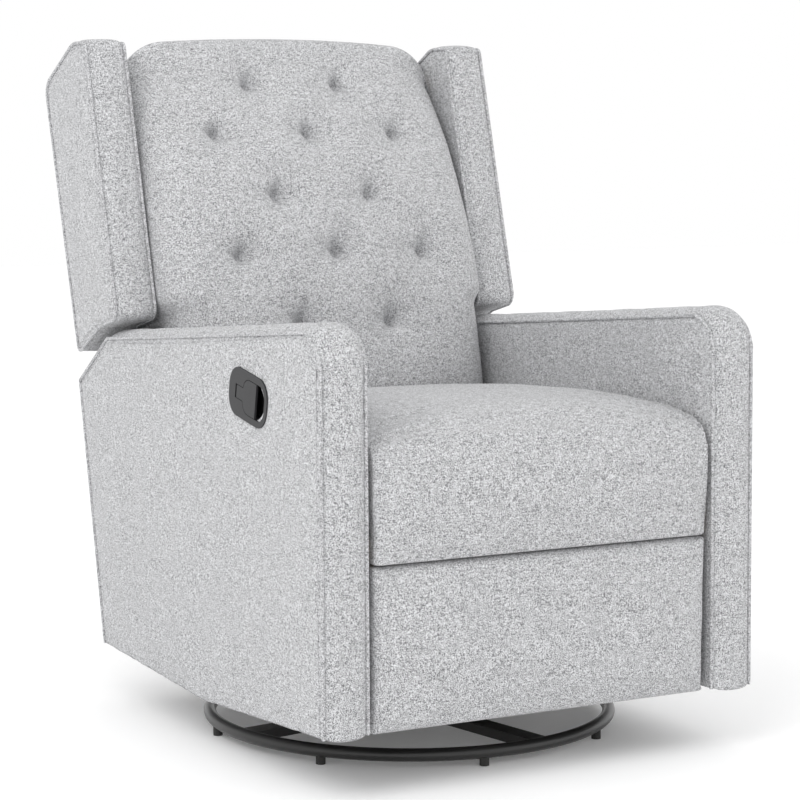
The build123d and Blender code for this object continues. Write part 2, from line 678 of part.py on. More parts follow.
def wing_board_face():
    return offset(wing_face(), amount=-WING_PAD, kind=Kind.INTERSECTION)


def wing_frame(side):
    low = across(side, WING_IN, WING_IN + WING_BOARD)[0]
    return lean(extrude(side_plane(low) * wing_board_face(), amount=WING_BOARD, dir=(1, 0, 0)))


def wing_cover(side):
    low = across(side, WING_IN, WING_OUT)[0]
    solid = extrude(side_plane(low) * wing_face(), amount=WING_OUT - WING_IN, dir=(1, 0, 0))
    return lean(solid) - wing_frame(side)


def outside_back():
    """The rear skin panel: full width between the wings, narrower between the arms."""
    front = OUTER_REAR - OUTER_T
    upper = box(-BACK_HALF, BACK_HALF, front, OUTER_REAR, WING_BOTTOM, OUTER_TOP)
    lower = box(-BACK_HALF_LOW, BACK_HALF_LOW, front, OUTER_REAR, OUTER_BOTTOM, WING_BOTTOM)
    return lean(upper + lower)


# ---------------------------------------------------------------- release handle


def handle_place():
    """Local x runs to the rear along the bezel, y runs down across it, z points out of the arm."""
    turn = math.radians(HANDLE_TILT)
    rearwards = (0, math.cos(turn), math.sin(turn))
    plane = Plane(origin=(-ARM_OUTER, HANDLE_Y, HANDLE_Z), x_dir=rearwards, z_dir=(-1, 0, 0))
    return plane.location


def opening_sketch(grow):
    """The T-shaped opening: a round-cornered hand hole with a tab to the rear, grown all round."""
    hand = RectangleRounded(2 * (HAND_U + grow), 2 * (HAND_V + grow), HAND_ROUND + grow)
    tab_run = TAB_END + grow - HAND_AT
    tab = Pos(HAND_AT + tab_run / 2, 0) * Rectangle(tab_run, 2 * (TAB_HALF + grow))
    return Pos(HAND_AT, 0) * hand + tab


def cup_blank():
    """The space that the cup takes out of the arm."""
    return Pos(0, 0, -CUP_DEEP) * extrude(opening_sketch(CUP_WALL), amount=CUP_DEEP)


def release_cup():
    bezel = extrude(RectangleRounded(2 * BEZEL_U, 2 * BEZEL_V, BEZEL_ROUND), amount=BEZEL_T)
    inner = extrude(opening_sketch(0), amount=CUP_DEEP - CUP_WALL + BEZEL_T)
    cup = bezel + cup_blank() - Pos(0, 0, CUP_WALL - CUP_DEEP) * inner
    pin = handle_pin(TAB_HALF + CUP_WALL, HINGE_R)
    return handle_place() * (cup - pin)


def handle_pin(half, radius):
    """A bar along the paddle's hinge line."""
    return Pos(HINGE_U, 0, -HINGE_DEEP) * Rot(90, 0, 0) * Cylinder(radius, 2 * half)


def release_hinge_pin():
    return handle_place() * handle_pin(TAB_HALF + CUP_WALL, HINGE_R)


def release_paddle():
    blade = extrude(opening_sketch(-PADDLE_CLEAR), amount=PADDLE_T)
    ahead = Pos(RECESS_AT - BEZEL_U, 0, 0) * Box(2 * BEZEL_U, 2 * BEZEL_U, 4 * PADDLE_T)
    beyond = Pos(HINGE_U + BEZEL_U, 0, 0) * Box(2 * BEZEL_U, 2 * BEZEL_U, 4 * PADDLE_T)
    blade = blade - ahead - beyond
    barrel = handle_pin(TAB_HALF - PADDLE_CLEAR, BARREL_R)
    return handle_place() * (blade + barrel - handle_pin(TAB_HALF, HINGE_R + RUN_CLEAR))


def cable_route():
    """The release cable, from the back of the cup down the arm and in to the side plate."""
    cup_back = CUP_DEEP - ARM_OUTER
    middle = -(ARM_INNER + ARM_FRAME + ARM_HOLLOW / 2)
    high, low = HANDLE_Z - 12, CABLE_LOW
    third = (high - low) / 3
    return [(cup_back, CABLE_Y, high), (middle, CABLE_Y, high), (middle, CABLE_Y - 2, high - third),
            (middle, CABLE_LOW_Y - 3, low + third), (middle, CABLE_LOW_Y, low), (-SIDE_X, CABLE_LOW_Y, low)]


def release_cable():
    points = cable_route()
    path = FilletPolyline(*points, radius=CABLE_BENDS)
    wire = sweep(Plane(origin=points[0], z_dir=path % 0) * Circle(CABLE_R), path=path)
    return wire


def nodes():
    """Every node of the chair with its solid."""
    parts = {
        "base_ring": base_ring(),
        "floor_pads": floor_pads(),
        "base_cross_bars": base_cross_bars(),
        "swivel_lower_plate": swivel_lower_plate(),
        "king_pin": king_pin(),
        "king_nut": king_nut(),
        "bearing_balls": bearing_balls(),
        "ball_cage": ball_cage(),
        "swivel_upper_plate": swivel_upper_plate(),
        "glider_cross_rails": glider_cross_rails(),
        "link_top_pins": link_pins(FRAME_X, LINK_X + LINK_T, GLIDE_TOP_Z),
        "link_lower_pins": link_pins(LINK_X, BRACKET_X + BRACKET_T, GLIDE_LOW_Z),
        "front_glide_links": pair(lambda side: glide_link(side, -1)),
        "rear_glide_links": pair(lambda side: glide_link(side, 1)),
        "swivel_side_plates": pair(swivel_side_plate),
        "glide_brackets": pair(glide_bracket),
        "cross_tubes": cross_tubes(),
        "front_seat_rail": front_seat_rail(),
        "rear_seat_rail": rear_seat_rail(),
        "seat_springs": seat_springs(),
        "seat_cushion": seat_cushion(),
        "rear_valance": rear_valance(),
        "recline_bolts": recline_bolts(),
        "footrest_pivot_rivets": footrest_pivot_rivets(),
        "main_links": main_links(),
        "footrest_sync_bar": footrest_sync_bar(),
        "main_link_rivets": main_link_rivets(),
        "rear_control_links": rear_control_links(),
        "front_links": front_links(),
        "front_link_rivets": front_link_rivets(),
        "outer_control_links": outer_control_links(),
        "outer_link_rivets": outer_link_rivets(),
        "footrest_brackets": footrest_brackets(),
        "footrest_board": footrest_board(),
        "footrest_cushion": footrest_cushion(),
        "back_cushion": back_cushion(),
        "back_rails": back_rails(),
        "back_webbing": back_webbing(),
        "back_brackets": back_brackets(),
        "outside_back": outside_back(),
        "release_cup": release_cup(),
        "release_hinge_pin": release_hinge_pin(),
        "release_paddle": release_paddle(),
        "release_cable": release_cable(),
    }
    for side, name in ((-1, "right"), (1, "left")):
        parts[f"mechanism_plate_{name}"] = mechanism_plate(side)
        parts[f"arm_frame_{name}"] = arm_frame(side)
        parts[f"arm_cover_{name}"] = arm_cover(side)
        parts[f"back_post_{name}"] = back_post(side)
        parts[f"wing_frame_{name}"] = wing_frame(side)
        parts[f"wing_cover_{name}"] = wing_cover(side)
    return parts


def write(parts):
    os.makedirs("parts", exist_ok=True)
    for name, shape in parts.items():
        export_step(Pos(0, AXIS_Y, 0) * shape, f"parts/{name}.step")


write(nodes())
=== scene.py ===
import math

import bmesh
import bpy
import numpy as np
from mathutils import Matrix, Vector
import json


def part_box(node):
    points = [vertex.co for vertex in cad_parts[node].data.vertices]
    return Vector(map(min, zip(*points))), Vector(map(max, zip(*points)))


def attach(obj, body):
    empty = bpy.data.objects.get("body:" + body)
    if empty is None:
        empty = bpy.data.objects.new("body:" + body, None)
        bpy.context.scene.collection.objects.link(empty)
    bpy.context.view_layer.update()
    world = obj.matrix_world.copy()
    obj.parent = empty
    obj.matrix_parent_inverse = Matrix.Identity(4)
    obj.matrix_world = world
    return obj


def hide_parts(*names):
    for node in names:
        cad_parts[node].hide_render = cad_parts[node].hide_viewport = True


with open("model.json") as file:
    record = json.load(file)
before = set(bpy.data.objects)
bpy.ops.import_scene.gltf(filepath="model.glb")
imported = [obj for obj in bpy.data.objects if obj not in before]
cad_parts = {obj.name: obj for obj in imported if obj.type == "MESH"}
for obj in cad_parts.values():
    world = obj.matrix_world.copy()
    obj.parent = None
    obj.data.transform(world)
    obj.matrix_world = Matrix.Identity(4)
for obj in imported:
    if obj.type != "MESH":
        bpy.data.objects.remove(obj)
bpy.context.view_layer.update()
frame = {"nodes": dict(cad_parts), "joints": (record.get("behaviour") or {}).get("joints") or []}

bl_info = {
    "name": "Glider nursery chair upholstery",
    "version": (1, 0, 0),
    "blender": (4, 5, 0),
    "location": "3D View > Sidebar > Chair",
    "description": "Upholsters and finishes a wingback swivel glider on its packed frame",
    "category": "Object",
}

# Places in the row frame, in metres, read from the frame.
KING_LOW, KING_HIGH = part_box("king_pin")
AXIS_Y = (KING_LOW.y + KING_HIGH.y) / 2
RECLINE = next(j for j in frame["joints"] if j["name"] == "recline")
PIVOT_Y, PIVOT_Z = RECLINE["pos_m"][1], RECLINE["pos_m"][2]
ARM_LOW, ARM_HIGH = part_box("arm_cover_left")
SEAT_LOW, SEAT_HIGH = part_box("seat_cushion")
FOOT_LOW, FOOT_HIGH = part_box("footrest_cushion")
WING_LOW, WING_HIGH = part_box("wing_cover_left")
CUP_LOW, CUP_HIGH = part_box("release_cup")
VALANCE_LOW, VALANCE_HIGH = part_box("rear_valance")
LEAN = math.radians(15.2)
COVER_OVER = 0.001            # how far covers stand over the frame boards behind them
CLOTH_SQUARE = 0.005          # side of the even cloth squares that panels are made of

# Side outlines as (y, z) in metres, y measured from the swivel axis.
ARM_SIDE = [(-0.3875, 0.090), (-0.009, 0.068), (0.357, 0.087), (0.446, 0.497), (0.333, 0.572),
            (-0.381, 0.632)]
ARM_FRONT_ROUND = 0.047
SEAT_SIDE = [(-0.3860, 0.3165), (-0.3885, 0.380), (-0.3885, 0.444), (-0.3850, 0.461), (-0.3740, 0.478),
             (-0.3480, 0.490), (-0.2960, 0.4985), (-0.2120, 0.502), (-0.0640, 0.498), (0.1450, 0.482),
             (0.1450, 0.3545), (-0.3630, 0.3545), (-0.3630, 0.3165)]

# The back, laid out in its own leaning plane as (depth, height) from the recline pivot.
BACK_LINE = [(-0.104, 0.036), (-0.122, 0.107), (-0.129, 0.219), (-0.124, 0.332), (-0.109, 0.429),
             (-0.083, 0.537), (-0.051, 0.625), (-0.033, 0.668), (-0.020, 0.699), (-0.003, 0.715),
             (0.016, 0.709), (0.038, 0.686)]
BACK_HALF, BACK_HALF_LOW = 0.2885, 0.2700
BACK_WIDENS = 0.251           # height where it widens over the arms
BACK_CORNER = 0.080           # rounding of the top corners
BACK_ARCH = 0.008             # how far the top falls towards its corners
BACK_ROLL = 0.058             # rounding of the front into the sides
BACK_BOW = 0.021              # how far the middle stands ahead of the sides
BACK_REAR = 0.038
TUFTS = [(-0.080, 0.625), (0.080, 0.625), (-0.160, 0.537), (0.0, 0.537), (0.160, 0.537),
         (-0.083, 0.429), (0.083, 0.429), (-0.162, 0.332), (0.0, 0.332), (0.162, 0.332),
         (-0.080, 0.219), (0.080, 0.219)]
WING_PLANE = [(-0.0420, 0.254), (-0.0420, 0.691), (0.005, 0.704), (0.136, 0.673), (0.124, 0.232),
              (0.028, 0.255)]
WING_ROUNDS = ((0, 0.016), (1, 0.006), (2, 0.010), (3, 0.018), (4, 0.010))
OUTSIDE_FRONT, OUTSIDE_REAR = 0.111, 0.130
OUTSIDE_LOW, OUTSIDE_TOP = -0.044, 0.674
ROLL_FRONT, ROLL_LOW, ROLL_TOP = 0.036, 0.668, 0.691   # where the outside back folds over the top rail
ROLL_ROUND = 0.012
SIDE_COVER_IN, SIDE_COVER_OUT = 0.2715, 0.2778   # cloth over the posts and their brackets
SIDE_COVER_LOW, SIDE_COVER_HIGH = 0.060, 0.262
SIDE_COVER_LAP, SIDE_COVER_TUCK = 0.004, 0.001   # how far it runs into the cushion and the outside back
SIDE_COVER_SQUARE = 0.0025
LEDGE_DEEP, LEDGE_SHY = 0.005, 0.0005            # the ledge's thickness, and how far inside the back it stays
STITCH_EVERY, STITCH_THREAD = 0.0048, 0.00055    # spacing of the stitches and size of their thread


# ------------------------------------------------------------------ shapes


def pick(obj):
    """Selects one object alone and makes it active."""
    for other in bpy.context.selected_objects:
        other.select_set(False)
    if obj is not None:
        obj.select_set(True)
        bpy.context.view_layer.objects.active = obj


def open_mesh(obj):
    pick(obj)
    bpy.ops.object.mode_set(mode="EDIT")


def close_mesh():
    bpy.ops.object.mode_set(mode="OBJECT")


def choose_edges(obj, test):
    """In edit mode, selects the edges whose two ends pass a test."""
    bpy.context.tool_settings.mesh_select_mode = (False, True, False)
    cut = bmesh.from_edit_mesh(obj.data)
    for part in (*cut.verts, *cut.edges, *cut.faces):
        part.select = False
    for edge in cut.edges:
        if test(edge.verts[0].co, edge.verts[1].co):
            edge.select_set(True)
    bmesh.update_edit_mesh(obj.data)


def choose_all(_obj=None):
    bpy.ops.mesh.select_all(action="SELECT")


def from_axis(outline):
    """Outline points moved from the swivel axis to the row frame."""
    return [(y + AXIS_Y, z) for y, z in outline]


def on_back(depth, height):
    """(y, z) in the row frame of a point in the back's leaning plane."""
    return (PIVOT_Y + depth * math.cos(LEAN) + height * math.sin(LEAN),
            PIVOT_Z - depth * math.sin(LEAN) + height * math.cos(LEAN))


def in_back(co):
    """Depth and height in the back's leaning plane of row-frame points."""
    y, z = co[:, 1] - PIVOT_Y, co[:, 2] - PIVOT_Z
    return y * math.cos(LEAN) - z * math.sin(LEAN), y * math.sin(LEAN) + z * math.cos(LEAN)


def side_block(name, outline, x_low, x_high):
    """A block cut to a side outline of (y, z) points, from x_low to x_high."""
    pick(None)
    bpy.ops.mesh.primitive_plane_add(size=0.01, location=(x_low, *outline[0]))
    block = bpy.context.object
    block.name = name
    bpy.ops.object.transform_apply(location=True, rotation=True, scale=True)
    bpy.context.tool_settings.mesh_select_mode = (True, False, False)
    open_mesh(block)
    choose_all()
    bpy.ops.mesh.merge(type="CENTER")
    for here, there in zip(outline, outline[1:]):
        step = (0, there[0] - here[0], there[1] - here[1])
        bpy.ops.mesh.extrude_vertices_move(TRANSFORM_OT_translate={"value": step})
    choose_all()
    bpy.ops.mesh.edge_face_add()
    bpy.ops.mesh.extrude_region_move(TRANSFORM_OT_translate={"value": (x_high - x_low, 0, 0)})
    choose_all()
    bpy.ops.mesh.normals_make_consistent(inside=False)
    close_mesh()
    return block


def round_corner(block, corner, radius, steps=8):
    """Rounds the edge that runs across the chair at one (y, z) corner."""
    def at_corner(a, b):
        return all(math.dist((p.y, p.z), corner) < 0.002 for p in (a, b))
    open_mesh(block)
    choose_edges(block, at_corner)
    bpy.ops.mesh.bevel(offset=radius, segments=steps, affect="EDGES")
    close_mesh()


def even_squares(obj, square=CLOTH_SQUARE):
    """Remeshes a closed block into even squares, as cloth needs."""
    pick(obj)
    obj.data.remesh_voxel_size = square
    bpy.ops.object.voxel_remesh()
    bpy.ops.object.shade_smooth()
    return obj


def relax(obj, times, factor=0.5):
    pick(obj)
    bpy.ops.object.modifier_add(type="SMOOTH")
    obj.modifiers[-1].factor = factor
    obj.modifiers[-1].iterations = times
    bpy.ops.object.modifier_apply(modifier=obj.modifiers[-1].name)


def points(obj):
    co = np.empty(len(obj.data.vertices) * 3)
    obj.data.vertices.foreach_get("co", co)
    return co.reshape(-1, 3)


def facing(obj):
    normals = np.empty(len(obj.data.vertices) * 3)
    obj.data.vertices.foreach_get("normal", normals)
    return normals.reshape(-1, 3)


def put(obj, co):
    obj.data.vertices.foreach_set("co", np.ascontiguousarray(co).ravel())
    obj.data.update()


def line_distance(flat, line, closed=True):
    """Distance of (y, z) points from a line through outline points."""
    best = np.full(len(flat), 1e9)
    ends = line[1:] + ([line[0]] if closed else [])
    for a, b in zip(line, ends):
        a, b = np.array(a), np.array(b)
        run = b - a
        share = np.clip(((flat - a) @ run) / max(run @ run, 1e-12), 0, 1)
        best = np.minimum(best, np.linalg.norm(flat - a - share[:, None] * run, axis=1))
    return best


def swell(distance, reach):
    """0 on a seam, rising to 1 at reach from it."""
    near = 1 - np.clip(distance / reach, 0, 1)
    return 1 - near * near


def smoothstep(value, low, high):
    t = np.clip((value - low) / (high - low), 0, 1)
    return t * t * (3 - 2 * t)


def ripple(co, size, turn):
    """Soft uneven swells about size metres across, from about -1 to 1."""
    total = np.zeros(len(co))
    for k in range(6):
        a, b = 2.4 * k + turn, 1.7 * k + 0.6 * turn
        way = np.array((math.cos(a) * math.cos(b), math.sin(a) * math.cos(b), math.sin(b)))
        total += np.sin((co @ way) * (2 * math.pi / size) * (1 + 0.27 * k) + 3.1 * k + turn)
    return total / 3


def stuff(obj, pressure, cap, held, frames=20):
    """Fills a piece as stuffing does: cloth under pressure, fast where held is true, moved at most cap."""
    start = points(obj)
    obj.vertex_groups.new(name="held").add([int(k) for k in np.nonzero(held)[0]], 1.0, "REPLACE")
    pick(obj)
    bpy.ops.object.modifier_add(type="CLOTH")
    cloth = obj.modifiers[-1]
    cloth.settings.quality = 5
    cloth.settings.use_pressure = True
    cloth.settings.uniform_pressure_force = pressure
    cloth.settings.vertex_group_mass = "held"
    cloth.settings.effector_weights.gravity = 0
    cloth.settings.tension_stiffness = 25
    cloth.settings.compression_stiffness = 25
    cloth.settings.bending_stiffness = 1.5
    cloth.collision_settings.use_collision = False
    for step in range(1, frames + 1):
        bpy.context.scene.frame_set(step)
    after = obj.evaluated_get(bpy.context.evaluated_depsgraph_get())
    moved = np.empty(len(start) * 3)
    after.data.vertices.foreach_get("co", moved)
    shift = moved.reshape(-1, 3) - start
    length = np.linalg.norm(shift, axis=1)
    keep = cap * np.tanh(length / cap) / np.maximum(length, 1e-9)
    bpy.ops.object.modifier_remove(modifier=cloth.name)
    obj.vertex_groups.clear()
    bpy.context.scene.frame_set(1)
    put(obj, start + shift * keep[:, None])
    return obj


def mirrored(obj, name):
    """A copy for the other side of the chair, with its own mesh."""
    twin = bpy.data.objects.new(name, obj.data.copy())
    bpy.context.scene.collection.objects.link(twin)
    co = points(twin)
    co[:, 0] *= -1
    put(twin, co)
    open_mesh(twin)
    choose_all()
    bpy.ops.mesh.flip_normals()
    close_mesh()
    return twin


def welt(name, path, radius, closed=False):
    """A thin roll of folded cloth along a seam."""
    roll = bpy.data.curves.new(name, "CURVE")
    roll.dimensions = "3D"
    roll.bevel_depth = radius
    roll.bevel_resolution = 2
    roll.use_fill_caps = True
    run = roll.splines.new("POLY")
    run.points.add(len(path) - 1)
    for spot, at in zip(run.points, path):
        spot.co = (*at, 1)
    run.use_cyclic_u = closed
    seam = bpy.data.objects.new(name, roll)
    bpy.context.scene.collection.objects.link(seam)
    pick(seam)
    bpy.ops.object.convert(target="MESH")
    bpy.ops.object.shade_smooth()
    return bpy.context.object


def along(line, step, closed=False):
    """Points every step along a line."""
    line = [np.array(p, float) for p in line]
    if closed:
        line.append(line[0])
    found = []
    for a, b in zip(line, line[1:]):
        count = max(1, round(float(np.linalg.norm(b - a)) / step))
        found += [a + (b - a) * k / count for k in range(count)]
    if not closed:
        found.append(line[-1])
    return found


def rounded(outline, corner, radius, steps=10):
    """An outline with one corner replaced by an arc that starts radius from it."""
    made = []
    size = len(outline)
    for k, at in enumerate(outline):
        if k != corner:
            made.append(at)
            continue
        before, here, after = (np.array(outline[(k + s) % size]) for s in (-1, 0, 1))
        first = here + (before - here) / np.linalg.norm(before - here) * radius
        last = here + (after - here) / np.linalg.norm(after - here) * radius
        for n in range(steps + 1):
            t = n / steps
            made.append(tuple((1 - t) ** 2 * first + 2 * t * (1 - t) * (here * 0.62 + (first + last) * 0.19)
                              + t * t * last))
    return made


def stitches(name, path, pitch, size, lift):
    """A row of topstitches: short beads along a path, each lifted off the cloth along lift."""
    spots = along(path, pitch)
    made = bmesh.new()
    for a, b in zip(spots, spots[1:]):
        way = Vector(b - a).normalized()
        middle = Vector((a + b) / 2) + Vector(lift) * size
        turn = way.to_track_quat("X", "Z").to_matrix().to_4x4()
        bead = bmesh.ops.create_icosphere(made, subdivisions=1, radius=1)["verts"]
        for vert in bead:
            spot = Vector((vert.co.x * pitch * 0.36, vert.co.y * size, vert.co.z * size * 0.7))
            vert.co = turn @ spot + middle
    sheet = bpy.data.meshes.new(name)
    made.to_mesh(sheet)
    made.free()
    row = bpy.data.objects.new(name, sheet)
    bpy.context.scene.collection.objects.link(row)
    pick(row)
    bpy.ops.object.shade_smooth()
    return row


# ---------------------------------------------------------------- finishes


class Value:
    """A number that varies over a surface; sums on it add Math nodes."""

    def __init__(self, finish, socket):
        self.finish, self.socket = finish, socket

    def _sum(self, kind, first, second):
        return self.finish.node("ShaderNodeMath", {"operation": kind}, {0: first, 1: second}).value()

    def __add__(self, other):
        return self._sum("ADD", self, other)

    def __radd__(self, other):
        return self._sum("ADD", other, self)

    def __sub__(self, other):
        return self._sum("SUBTRACT", self, other)

    def __rsub__(self, other):
        return self._sum("SUBTRACT", other, self)

    def __mul__(self, other):
        return self._sum("MULTIPLY", self, other)

    def __rmul__(self, other):
        return self._sum("MULTIPLY", other, self)

    def sine(self):
        return self._sum("SINE", self, 0.0)


class Node:
    """A placed node, with its outputs as values."""

    def __init__(self, finish, made):
        self.finish, self.made = finish, made

    def value(self, output=0):
        return Value(self.finish, self.made.outputs[output])


class Finish:
    """One procedural material on a Principled shader."""

    def __init__(self, name):
        self.material = bpy.data.materials.new(name)
        self.material.use_nodes = True
        self.tree = self.material.node_tree
        self.shader = self.tree.nodes["Principled BSDF"]
        self.place = self.node("ShaderNodeTexCoord").value("Object")

    def node(self, kind, settings=None, inputs=None):
        """Any node: its type, its settings first, then the values or links of its sockets."""
        made = self.tree.nodes.new(kind)
        for key, setting in (settings or {}).items():
            if key == "stops":
                self.stops(made.color_ramp, setting)
            else:
                setattr(made, key, setting)
        for key, given in (inputs or {}).items():
            self.feed(made.inputs[key], given)
        return Node(self, made)

    def feed(self, socket, given):
        if isinstance(given, Value):
            self.tree.links.new(given.socket, socket)
        else:
            socket.default_value = given

    def stops(self, ramp, stops):
        while len(ramp.elements) < len(stops):
            ramp.elements.new(0.5)
        for element, (at, colour) in zip(ramp.elements, stops):
            element.position = at
            element.color = (*colour, 1)

    def stretched(self, scale):
        return self.node("ShaderNodeMapping", None, {"Vector": self.place, "Scale": scale}).value()

    def noise(self, scale, detail=2.0, where=None, rough=0.5):
        return self.node("ShaderNodeTexNoise", None, {"Vector": where or self.place, "Scale": scale,
                                                      "Detail": detail, "Roughness": rough}).value("Fac")

    def ramp(self, value, stops):
        return self.node("ShaderNodeValToRGB", {"stops": stops}, {"Fac": value}).value()

    def mix(self, share, first, second, blend="MIX"):
        mixed = self.node("ShaderNodeMix", {"data_type": "RGBA", "blend_type": blend}, {0: share})
        self.feed(mixed.made.inputs[6], first)
        self.feed(mixed.made.inputs[7], second)
        return mixed.value(2)

    def bump(self, height, strength, distance):
        made = self.node("ShaderNodeBump", None,
                         {"Height": height, "Strength": strength, "Distance": distance})
        return made.value()

    def wear(self, **sockets):
        """Sets the shader's own sockets."""
        for key, given in sockets.items():
            self.feed(self.shader.inputs[key.replace("_", " ")], given)
        return self.material


def shade(level, warmth=0.0):
    """A near-grey colour; warmth above 0 leans to yellow, below 0 to blue."""
    return (level * (1 + warmth), level, level * (1 - warmth))


def heather(name, light, dark, weave):
    """Heathered linen weave: light and dark threads crossing, with flecks and slubs."""
    cloth = Finish(name)
    fleck = cloth.noise(1 / weave, 2.0, rough=0.8)
    weft = cloth.noise(1.0, 2.0, cloth.stretched((130, 130, 0.62 / weave)), 0.6)
    warp = cloth.noise(1.0, 2.0, cloth.stretched((0.62 / weave, 0.62 / weave, 130)), 0.6)
    tone = fleck * 0.70 + weft * 0.16 + warp * 0.14
    between = tuple(a * 0.62 + b * 0.38 for a, b in zip(light, dark))
    colour = cloth.ramp(tone, [(0.415, dark), (0.478, between),
                               (0.522, light), (0.575, tuple(min(1, a * 1.36) for a in light))])
    drift = cloth.noise(7.0, 2.0)
    colour = cloth.mix(0.10 * drift, colour, (*tuple(a * 0.72 for a in light), 1))
    axes = cloth.node("ShaderNodeSeparateXYZ", None, {0: cloth.place}).made.outputs
    turn = math.pi / (weave * 1.25)
    x, y, z = ((Value(cloth, axis) * turn + 2.2 * fleck).sine() for axis in axes)
    threads = x * y + y * z + z * x
    relief = threads * 0.22 + tone * 1.6
    return cloth.wear(Base_Color=colour, Roughness=0.92, Sheen_Weight=0.22, Sheen_Roughness=0.45,
                      Specular_IOR_Level=0.25, Normal=cloth.bump(relief, 0.55, 0.0009))


def satin_paint(name, level, rough):
    paint = Finish(name)
    fine = paint.noise(900.0, 2.0)
    worn = paint.noise(22.0, 4.0)
    colour = paint.mix(worn, (*shade(level, 0.02), 1), (*shade(level * 1.5, 0.03), 1))
    return paint.wear(Base_Color=colour, Roughness=rough + 0.14 * (worn - 0.5),
                      Metallic=0.0, Coat_Weight=0.15,
                      Normal=paint.bump(fine, 0.12, 0.0003))


def bright_steel(name):
    steel = Finish(name)
    drawn = steel.noise(1.0, 3.0, steel.stretched((900, 60, 60)))
    colour = steel.mix(drawn, (0.52, 0.53, 0.55, 1), (0.68, 0.68, 0.69, 1))
    return steel.wear(Base_Color=colour, Metallic=1.0, Roughness=0.24 + 0.16 * drawn,
                      Normal=steel.bump(drawn, 0.10, 0.0002))


def moulded_plastic(name):
    plastic = Finish(name)
    grain = plastic.noise(1500.0, 2.0, rough=0.6)
    wide = plastic.noise(40.0, 3.0)
    colour = plastic.mix(wide, (0.017, 0.017, 0.019, 1), (0.026, 0.026, 0.028, 1))
    return plastic.wear(Base_Color=colour, Roughness=0.42 + 0.14 * grain,
                        Normal=plastic.bump(grain, 0.25, 0.0002))


def pad_rubber(name):
    rubber = Finish(name)
    dust = rubber.noise(160.0, 4.0)
    colour = rubber.mix(dust, (0.018, 0.018, 0.018, 1), (0.045, 0.044, 0.042, 1))
    return rubber.wear(Base_Color=colour, Roughness=0.78 + 0.1 * dust, Normal=rubber.bump(dust, 0.2, 0.0004))


def ply(name):
    """Birch ply with long grain and darker rays."""
    wood = Finish(name)
    grain = wood.noise(1.0, 6.0, wood.stretched((14, 160, 22)), 0.62)
    fine = wood.noise(1.0, 3.0, wood.stretched((60, 1400, 120)), 0.6)
    tone = grain * 0.7 + fine * 0.3
    colour = wood.ramp(tone, [(0.32, (0.30, 0.19, 0.10)), (0.5, (0.52, 0.37, 0.22)),
                              (0.66, (0.68, 0.52, 0.34))])
    return wood.wear(Base_Color=colour, Roughness=0.55 + 0.25 * fine, Normal=wood.bump(tone, 0.25, 0.0005))


def webbing(name):
    band = Finish(name)
    axes = band.node("ShaderNodeSeparateXYZ", None, {0: band.place}).made.outputs
    across = (Value(band, axes[0]) * (math.pi / 0.0025)).sine()
    up = (Value(band, axes[2]) * (math.pi / 0.0025)).sine()
    cross = across * up * 0.5 + 0.5
    fuzz = band.noise(900.0, 2.0)
    colour = band.mix(cross * 0.7 + fuzz * 0.3, (0.16, 0.13, 0.10, 1), (0.50, 0.44, 0.35, 1))
    return band.wear(Base_Color=colour, Roughness=0.85, Normal=band.bump(cross, 0.4, 0.0006))


def cable_sheath(name):
    sheath = Finish(name)
    axes = sheath.node("ShaderNodeSeparateXYZ", None, {0: sheath.place}).made.outputs
    ribs = (Value(sheath, axes[2]) * (math.pi / 0.0011)).sine() * 0.5 + 0.5
    colour = sheath.mix(ribs, (0.02, 0.02, 0.02, 1), (0.06, 0.06, 0.06, 1))
    return sheath.wear(Base_Color=colour, Roughness=0.4, Normal=sheath.bump(ribs, 0.3, 0.0004))


def floor_paint(name, level):
    floor = Finish(name)
    cloudy = floor.noise(1.5, 3.0)
    colour = floor.mix(cloudy, (*shade(level), 1), (*shade(min(1.0, level * 1.03)), 1))
    return floor.wear(Base_Color=colour, Roughness=0.75, Specular_IOR_Level=0.1, Emission_Color=(1, 1, 1, 1),
                      Emission_Strength=0.10)


def clothe(obj, material):
    """Gives an object one material and nothing else."""
    obj.data.materials.clear()
    obj.data.materials.append(material)


def finished(obj, body):
    """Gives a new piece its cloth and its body."""
    clothe(obj, bpy.data.materials["heather_linen"])
    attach(obj, body)
    return obj


# --------------------------------------------------------------- settings


class ChairCloth(bpy.types.PropertyGroup):
    """The cover cloth and how full its panels are."""
    light: bpy.props.FloatVectorProperty(name="Light thread", description="Colour of the light threads",
                                         default=(0.565, 0.568, 0.580), size=3, subtype="COLOR", min=0, max=1)
    dark: bpy.props.FloatVectorProperty(name="Dark thread", description="Colour of the dark threads",
                                        default=(0.12, 0.12, 0.125), size=3, subtype="COLOR", min=0, max=1)
    weave: bpy.props.FloatProperty(name="Weave", description="Distance between threads",
                                   default=0.0015, unit="LENGTH", min=0.0005, max=0.01)
    band: bpy.props.FloatProperty(name="Band crown", description="How far arm fronts and tops stand proud",
                                  default=0.012, unit="LENGTH", min=0, max=0.03)
    panel: bpy.props.FloatProperty(name="Panel crown", description="How far side panels stand proud",
                                   default=0.0035, unit="LENGTH", min=0, max=0.02)
    tuft: bpy.props.FloatProperty(name="Tuft depth", description="How deep the tufts pull the back in",
                                  default=0.044, unit="LENGTH", min=0, max=0.06)
    seam: bpy.props.FloatProperty(name="Welt radius", description="Radius of the folded seam roll",
                                  default=0.0027, unit="LENGTH", min=0.0005, max=0.01)


